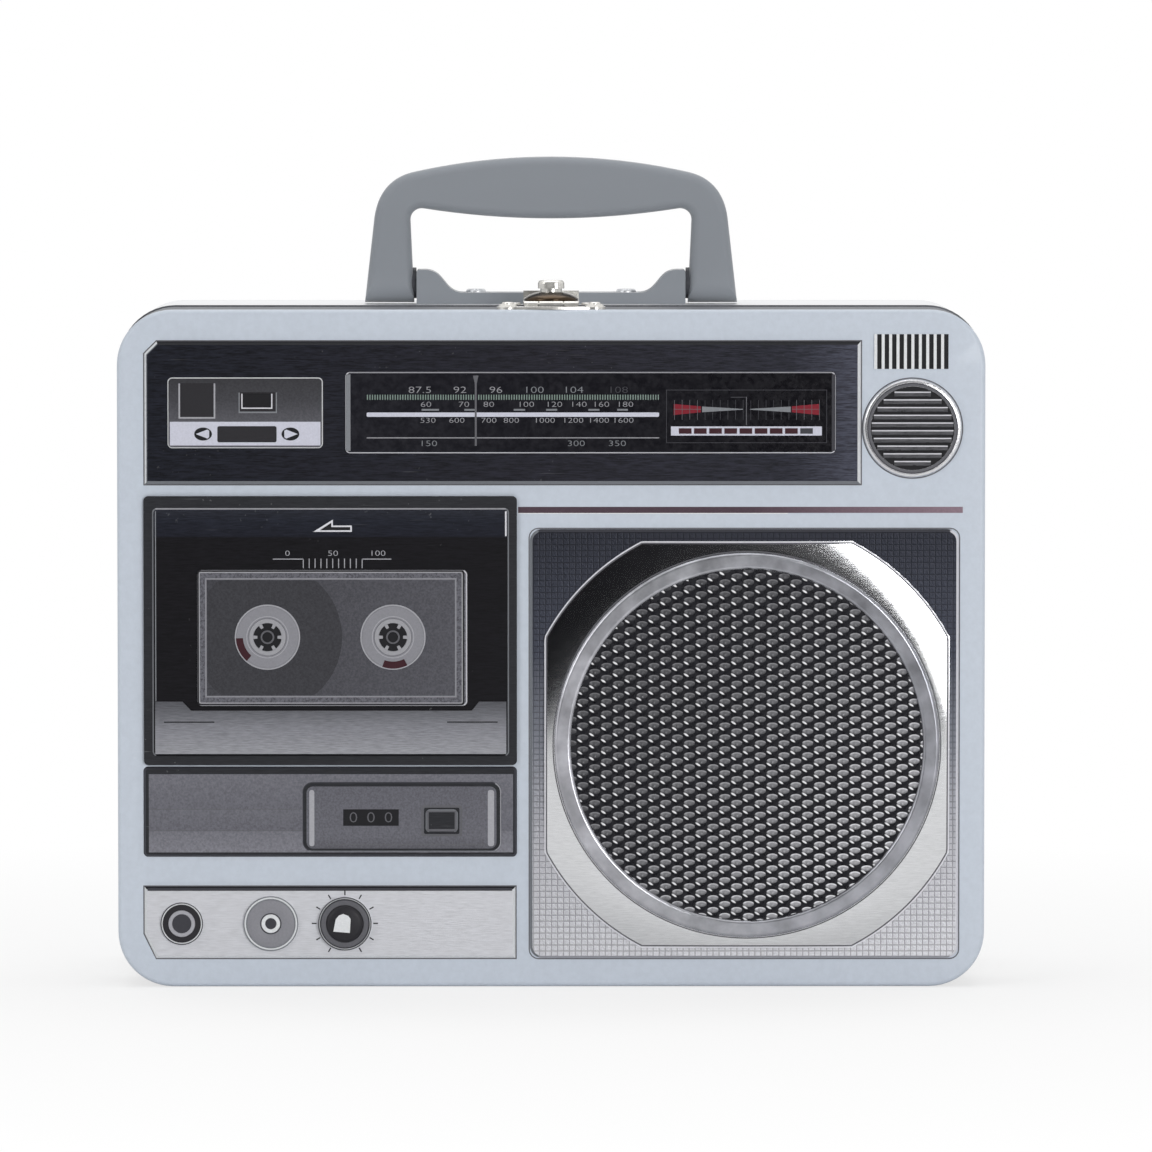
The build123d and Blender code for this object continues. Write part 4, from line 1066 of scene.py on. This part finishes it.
class TIN_OT_cassette(Operator):
    """Make the cassette window with its two reels, and a painted highlight and painted shadow round the
    window
    """

    bl_idname = "tin.cassette"
    bl_label = "Cassette window and reels"

    def reel(self, x, z, level, tab):
        """One reel: rings and a spindle turned about its axis, six teeth and a dark red tab."""
        rim = bpy.context.scene.tin_sizes.reel_radius / MM
        parts = [
            bead(x, z, (rim, rim - 0.1, rim - 0.35, rim - 0.4), level, 0.16, "pale"),
            bead(x, z, (rim - 0.4, rim - 0.45, 4.9, 4.7), level, 0.14, "reel"),
            bead(x, z, (4.7, 4.6, 3.65, 3.55), level, 0.24, "reel_light"),
            slab(circle(x, z, 3.56), level, "ink"),
            border(circle(x, z, 5.35), circle(x, z, 5.15), level + 0.14, "pale"),
            bead(x, z, (1.75, 1.7, 1.35, 1.3), level, 0.2, "mid"),
        ]
        for turn in np.arange(6) * FULL_TURN / 6.0:
            parts.append(slab(spoke(x, z, turn, 2.55, 3.6, 0.35, 0.45), level + 0.02, "reel_light", 0.2))
        sweep = np.radians(np.linspace(*tab, 9))
        arc = np.stack([np.cos(sweep), np.sin(sweep)], axis=1)
        sector = np.concatenate([arc * 8.0, arc[::-1] * 6.2]) + (x, z)
        parts.append(slab(sector, level + 0.16, "tab"))
        return parts

    def execute(self, context):
        level = CASSETTE_LEVEL
        left, right, low, high = -87.3, -24.4, 74.2, 103.7
        reel_z = 89.1
        left_reel = -71.9
        parts = [bar(left, right, low, high, level, "speckled")]
        roll = circle(left_reel, reel_z, 18.9, 96)
        roll = np.clip(roll, (left + 0.2, low + 0.2), (right, high - 0.2))
        parts.append(slab(roll, level + 0.02, "tape", 0.02))
        # lines round the window: their outer and inner distance from it, their rounding and their finish; the
        # light line and the dark line outside it are a painted highlight and a painted shadow of the bevel
        for far, near, radius, finish in (
            (0.4, 0.0, 0.0, "reel"),
            (1.98, 1.7, 0.3, "reel_light"),
            (2.34, 1.98, 0.5, "ink"),
        ):
            outlines = [rounded(left - d, right + d, low - d, high + d, radius) for d in (far, near)]
            parts.append(border(*outlines, level, finish, 0.05))
        build("cassette_inside", parts)
        # the tab of a reel runs from one angle to another, in degrees
        build("left_reel", self.reel(left_reel, reel_z, level + 0.05, (182.0, 229.0)))
        build("right_reel", self.reel(-40.1, reel_z, level + 0.05, (250.0, 297.0)))
        return {"FINISHED"}


class TIN_OT_counter(Operator):
    """Print the counter panel, its wheels and its button, and paint highlights down the ends of its window"""

    bl_idname = "tin.counter"
    bl_label = "Counter"

    def execute(self, context):
        parts = [bar(-102.1, -9.7, 34.3, 54.2, COUNTER_LEVEL, "counter")]
        for z in (39.8, 45.3):
            parts.append(bar(-102.1, -63.2, z - 0.1, z + 0.1, COUNTER_LEVEL + LAYER, "mid"))
        level = COUNTER_WINDOW_LEVEL
        window = rounded(-62.1, -13.9, 35.3, 51.1, 1.6)
        parts.append(border(window, rounded(-32.3, -23.3, 39.0, 45.7, 0.4), level, "counter_glass"))
        # painted highlights down the left and right ends of the window
        for left, right in ((-61.4, -60.1), (-16.1, -14.5)):
            parts.append(slab(rounded(left, right, 35.9, 50.2, 0.6), level + LAYER, "pale"))
        parts.append(bar(-52.8, -38.7, 41.1, 45.3, level + LAYER, "ink"))
        for x in (-50.2, -45.75, -41.3):
            parts.append(digits("0", x, 43.1, 2.7, level + 2.0 * LAYER, "mid", 1.2))
        button = rounded(-31.6, -24.0, 39.7, 45.0)
        parts.append(border(button, rounded(-31.1, -24.5, 40.3, 44.6), BUTTON_LEVEL, "mid"))
        parts.append(bar(-57.0, -17.0, 36.2, 36.45, level + LAYER, "mid"))
        hollow = rounded(-33.0, -22.6, 38.4, 46.3, 0.5)
        parts.append(border(hollow, rounded(-32.4, -23.2, 39.0, 45.7, 0.4), level + LAYER, "mid"))
        build("counter_prints", parts)
        return {"FINISHED"}


class TIN_OT_jacks(Operator):
    """Make the two sockets and the volume knob of the lower panel, with a painted highlight on the knob"""

    bl_idname = "tin.jacks"
    bl_label = "Sockets and knob"

    def nested(self, x, z, level, rings):
        """Nested rings about one axis: each is a low bead between two radii, with its height and finish."""
        lip = 0.12
        return [bead(x, z, (outer, outer - lip, inner + lip, inner), level, rise, finish)
                for outer, inner, rise, finish in rings]

    def execute(self, context):
        z = 16.2
        phones_x = -93.8
        phones = self.nested(phones_x, z, SOCKET_LEVEL, [
            (5.4, 5.15, 0.1, "dim"),
            (5.15, 4.85, 0.15, "white"),
            (4.85, 3.4, 0.08, "dark"),
            (3.4, 2.4, 0.2, "pale"),
        ])
        phones.append(slab(circle(phones_x, z, 2.42), SOCKET_LEVEL, "dim"))
        build("phones_socket", phones)
        mic_x = -71.2
        mic = self.nested(mic_x, z, SOCKET_LEVEL, [
            (7.0, 6.7, 0.1, "grey"),
            (6.7, 6.3, 0.12, "white"),
            (6.3, 6.0, 0.1, "grey"),
            (6.0, 2.7, 0.06, "reel"),
            (2.7, 2.4, 0.1, "dim"),
            (2.4, 1.4, 0.2, "white"),
        ])
        mic.append(slab(circle(mic_x, z, 1.42), SOCKET_LEVEL, "dim"))
        build("mic_socket", mic)
        knob_x = -52.4
        level = KNOB_LEVEL
        knob = self.nested(knob_x, z, level, [
            (6.8, 6.55, 0.22, "dim"),
            (6.55, 6.3, 0.22, "white"),
            (6.3, 6.1, 0.22, "dim"),
            (6.1, 4.7, 0.22, "mid"),
        ])
        cap_height = 0.8
        cap = [(4.7, level), (4.65, level + 0.25), (4.3, level + 0.6), (3.6, level + cap_height)]
        knob.append(lathe(knob_x, z, cap, "dark"))
        # painted highlight on the knob's cap, shaped like a thimble
        thimble_highlight = [(-2.9, -1.9), (1.3, -2.25), (1.5, 1.3), (0.9, 2.1), (-0.4, 2.6), (-1.5, 2.2), (-2.3, 1.2)]
        knob.append(slab(np.array(thimble_highlight) + (knob_x, z), level + cap_height, "white"))
        for turn in np.radians(np.arange(-60.0, 241.0, 30.0)):
            knob.append(slab(spoke(knob_x, z, turn, 7.2, 8.4, 0.16, 0.16), JACK_LEVEL, "dark"))
        knob.append(bar(-102.5, -9.9, 24.5, 25.2, JACK_LEVEL, "dim"))
        build("volume_knob", knob)
        return {"FINISHED"}


class TIN_OT_grille(Operator):
    """Make the field of bumps in the speaker, and the lines round its frame, ring and plate"""

    bl_idname = "tin.grille"
    bl_label = "Speaker grille"

    def frame_line(self, outer, inner, finish):
        """Line along the edge of the frame, between two insets: a circle cut by four flats, on the cone."""
        steps = 360
        turn = (np.arange(steps) + 0.5) * FULL_TURN / steps
        outlines = []
        levels = []
        for inset in (outer, inner):
            side = (FRAME_HALF_WIDTH - inset) / np.abs(np.cos(turn))
            end = (FRAME_HALF_HEIGHT - inset) / np.abs(np.sin(turn))
            reach = np.minimum(FRAME_RADIUS - inset, np.minimum(side, end))
            offset = np.stack([reach * np.cos(turn), reach * np.sin(turn)], axis=1)
            outlines.append(offset + (SPEAKER_X, SPEAKER_Z))
            levels.append(FRAME_LEVEL + (FRAME_RADIUS - reach) * FRAME_SLOPE)
        first, second = outlines
        low, high = levels
        thick = print_height()
        outer_rings = [front(first, low), front(first, low + thick)]
        inner_rings = [front(second, high + thick), front(second, high)]
        return skin(outer_rings + inner_rings, finish, closed=True)

    def bumps(self, sizes):
        """Bumps in staggered columns: each is a paraboloid over rings of points, cut off along the ring."""
        row = sizes.bump_row / MM
        reach = sizes.grille_radius / MM
        columns = np.arange(-16, 17)
        across, up = np.meshgrid(columns, columns, indexing="ij")
        x = BUMP_X - SPEAKER_X + across * sizes.bump_column / MM
        z = BUMP_Z - SPEAKER_Z + up * row + np.where(across % 2 == 0, 0.0, row / 2.0)
        kept = np.hypot(x, z) < reach - 0.3
        around = 14
        turn = np.arange(around) * FULL_TURN / around
        # share of the radius, from the foot of a bump to near its crown
        share = np.array([1.0, 0.86, 0.62, 0.34, 0.12])[:, None]
        radius = sizes.bump_radius / MM
        far_x = x[kept][:, None, None] + radius * share * np.cos(turn)
        far_z = z[kept][:, None, None] + radius * share * np.sin(turn)
        held = np.minimum(1.0, reach / np.hypot(far_x, far_z))
        points = np.zeros((*far_x.shape, 3))
        points[..., 0] = (SPEAKER_X + far_x * held) * MM
        points[..., 1] = sizes.face_y - GRILLE_LEVEL * MM - sizes.bump_height * (1.0 - share**2)
        points[..., 2] = (SPEAKER_Z + far_z * held) * MM
        one, faces, finish = skin(points[0], "grille")
        every = [[i + len(one) * bump for i in face] for bump in range(len(points)) for face in faces]
        return points.reshape(-1, 3), every, finish

    def execute(self, context):
        build("speaker_grille", [self.bumps(context.scene.tin_sizes)], smooth=80.0)
        line = 0.35
        outside = RING_OUTER + 0.4
        foot = FRAME_LEVEL + (FRAME_RADIUS - outside) * FRAME_SLOPE
        ring = [circle(SPEAKER_X, SPEAKER_Z, radius, 144) for radius in (outside, RING_OUTER + 0.1)]
        plate = [rounded(-5.75, 103.65, 6.95, 116.75, 2.5), rounded(-5.45, 103.35, 7.25, 116.45, 2.2)]
        build("speaker_lines", [
            self.frame_line(0.03, line, "line"),
            self.frame_line(line, 2.0 * line, "mid"),
            border(*ring, foot + 0.04, "mid"),
            border(*plate, 0.0, "mid"),
        ])
        return {"FINISHED"}


class TIN_OT_latch(Operator):
    """Make the domed cap under the latch knob, and the collars of the handle"""

    bl_idname = "tin.latch"
    bl_label = "Latch dome and handle collars"

    def collars(self):
        """Two dark discs about the pivot of the handle, which stand for a washer and paint the shade in the
        gap between ear and leg: a circle carried along X from beside an ear into a leg.
        """
        ear, leg = 34.8, 36.4
        pivot_y, pivot_z = 14.0, 177.3
        outline = circle(pivot_y, pivot_z, 4.0)
        parts = []
        for side in (-1.0, 1.0):
            ends = [np.insert(outline, 0, side * end, axis=1) for end in (ear, leg)]
            parts.append(skin(np.array(ends) * MM, "collar"))
        build("handle_collars", parts, body="handle")

    def dome(self):
        """Cap under the knob: pairs of radius and height turned about an upright axis."""
        # from the skirt up to the neck of the knob
        profile = [(6.0, 173.1), (6.95, 173.65), (6.98, 174.2), (6.4, 174.75),
                   (5.5, 175.25), (4.4, 175.68), (3.05, 175.95)]
        middle_y = -18.3
        rings = [np.insert(circle(0.0, middle_y, wide, 64), 2, height, axis=1) for wide, height in profile]
        build("hasp_dome", [skin(np.array(rings) * MM, "dome")], body="hasp", smooth=60.0)

    def execute(self, context):
        self.collars()
        self.dome()
        return {"FINISHED"}


class TIN_OT_stage(Operator):
    """Set out the floor, the cards, the lamps and the camera"""

    bl_idname = "tin.stage"
    bl_label = "Stage"

    def sheet(self, name, corners, used):
        """Flat sheet between four corners, given in order."""
        mesh = bpy.data.meshes.new(name)
        mesh.from_pydata(corners, [], [[0, 1, 2, 3]])
        mesh.materials.append(used)
        made = bpy.data.objects.new(name, mesh)
        bpy.context.scene.collection.objects.link(made)
        return made

    def lamp(self, name, place, size, power):
        """Square soft lamp turned towards the middle of the case."""
        data = bpy.data.lights.new(name, "AREA")
        data.shape = "SQUARE"
        data.size = size
        data.energy = power
        made = bpy.data.objects.new(name, data)
        made.location = place
        made.rotation_euler = (Vector((0.0, 0.0, 0.1)) - Vector(place)).to_track_quat("-Z", "Y").to_euler()
        bpy.context.scene.collection.objects.link(made)

    def matt_look(self, name, tint):
        """Matt material of one colour, its nodes and its surface shader."""
        made, tree, surface = new_material(name)
        fill(surface, {"Base Color": (*tint, 1.0), "Roughness": 0.9, "Specular IOR Level": 0.0})
        return made, tree, surface

    def floor_look(self):
        """White floor that shows its shadow near the case and turns plain white farther out."""
        made, tree, surface = self.matt_look("pale_floor", (0.9, 0.9, 0.9))
        distance = tree.nodes.new("ShaderNodeVectorMath")
        distance.operation = "LENGTH"
        tree.links.new(object_place(tree), distance.inputs[0])
        path = tree.nodes.new("ShaderNodeLightPath").outputs
        seen = maths(tree, "MAXIMUM", path["Is Camera Ray"], path["Is Transmission Ray"])
        far = spread(tree, distance.outputs["Value"], 0.1, 0.4, 0.7, 1.0)
        white = tree.nodes.new("ShaderNodeEmission")
        mixed = tree.nodes.new("ShaderNodeMixShader")
        tree.links.new(maths(tree, "MULTIPLY", seen, far), mixed.inputs["Fac"])
        tree.links.new(surface.outputs["BSDF"], mixed.inputs[1])
        tree.links.new(white.outputs["Emission"], mixed.inputs[2])
        output = next(n for n in tree.nodes if n.type == "OUTPUT_MATERIAL")
        tree.links.new(mixed.outputs["Shader"], output.inputs["Surface"])
        return made

    def world(self, scene):
        """White world where the camera and reflections see it, and a softer light elsewhere."""
        scene.world = bpy.data.worlds.new("white_room")
        scene.world.use_nodes = True
        tree = scene.world.node_tree
        back = next(n for n in tree.nodes if n.type == "BACKGROUND")
        fill(back, {"Color": (1.0, 1.0, 1.0, 1.0)})
        path = tree.nodes.new("ShaderNodeLightPath").outputs
        seen = maths(tree, "MAXIMUM", path["Is Camera Ray"], path["Is Glossy Ray"])
        seen = maths(tree, "MAXIMUM", seen, path["Is Transmission Ray"])
        tree.links.new(spread(tree, seen, 0.0, 1.0, 0.55, 1.0), back.inputs["Strength"])

    def cards(self):
        """Dark mat in front of the case and dark wall behind the camera, which only the metal mirrors."""
        dark, _, _ = self.matt_look("dark_card", (0.02, 0.02, 0.024))
        near, far = -1.0, -3.4
        side = 3.0
        right = 0.35
        low, high = 0.001, 3.0
        mat = [(-side, far, low), (right, far, low), (right, near, low), (-side, near, low)]
        wall = [(-side, far, 0.0), (-side, far, high), (side, far, high), (side, far, 0.0)]
        for name, corners in (("dark_mat", mat), ("dark_wall", wall)):
            self.sheet(name, corners, dark).visible_camera = False

    def camera(self, scene):
        """Camera at the picture's angle, with a lens that takes in the picture's width at the face."""
        sizes = scene.tin_sizes
        rise = sizes.camera_rise
        turn = sizes.camera_turn
        target = Vector((0.00627, -0.041, 0.1046))
        away = Vector((-math.sin(turn) * math.cos(rise), -math.cos(turn) * math.cos(rise), math.sin(rise)))
        data = bpy.data.cameras.new("camera")
        data.sensor_width = 36.0
        data.lens = data.sensor_width * sizes.camera_distance / sizes.picture_width
        data.clip_end = 50.0
        made = bpy.data.objects.new("camera", data)
        made.location = target + away * sizes.camera_distance
        made.rotation_euler = (-away).to_track_quat("-Z", "Y").to_euler()
        scene.collection.objects.link(made)
        scene.camera = made

    def execute(self, context):
        scene = context.scene
        self.world(scene)
        low = -0.0002
        reach = 4.0
        corners = [(-reach, -reach, low), (reach, -reach, low), (reach, reach, low), (-reach, reach, low)]
        self.sheet("floor", corners, self.floor_look())
        self.cards()
        self.lamp("key_lamp", (0.95, -2.4, 0.48), 1.0, 26.0)
        self.lamp("fill_lamp", (-1.5, -1.6, 0.9), 1.0, 9.0)
        self.lamp("top_lamp", (0.0, 0.3, 1.8), 1.4, 12.0)
        self.camera(scene)
        scene.view_settings.view_transform = "Standard"
        return {"FINISHED"}


class TIN_PT_panel(Panel):
    """List of the steps that finish the case"""

    bl_idname = "TIN_PT_panel"
    bl_label = "Tin case"
    bl_space_type = "VIEW_3D"
    bl_region_type = "UI"
    bl_category = "Tin case"

    def draw(self, context):
        for step in STEPS:
            self.layout.operator(step.bl_idname)
        for group in (context.scene.tin_sizes, context.scene.tin_colours):
            for name in group.__annotations__:
                self.layout.prop(group, name)


STEPS = (
    TIN_OT_finishes,
    TIN_OT_face,
    TIN_OT_dial,
    TIN_OT_program,
    TIN_OT_vents,
    TIN_OT_tuner,
    TIN_OT_door,
    TIN_OT_cassette,
    TIN_OT_counter,
    TIN_OT_jacks,
    TIN_OT_grille,
    TIN_OT_latch,
    TIN_OT_stage,
)
CLASSES = (TinSizes, TinColours, *STEPS, TIN_PT_panel)


def register():
    """Make the classes and the scene's properties known to Blender."""
    for kind in CLASSES:
        bpy.utils.register_class(kind)
    bpy.types.Scene.tin_sizes = PointerProperty(type=TinSizes)
    bpy.types.Scene.tin_colours = PointerProperty(type=TinColours)


def unregister():
    """Take the classes and properties away again."""
    del bpy.types.Scene.tin_colours
    del bpy.types.Scene.tin_sizes
    for kind in reversed(CLASSES):
        bpy.utils.unregister_class(kind)


def main():
    """Run every step in order."""
    register()
    bpy.ops.tin.finishes()
    bpy.ops.tin.face()
    bpy.ops.tin.dial()
    bpy.ops.tin.program()
    bpy.ops.tin.vents()
    bpy.ops.tin.tuner()
    bpy.ops.tin.door()
    bpy.ops.tin.cassette()
    bpy.ops.tin.counter()
    bpy.ops.tin.jacks()
    bpy.ops.tin.grille()
    bpy.ops.tin.latch()
    bpy.ops.tin.stage()


if __name__ == "__main__":
    main()
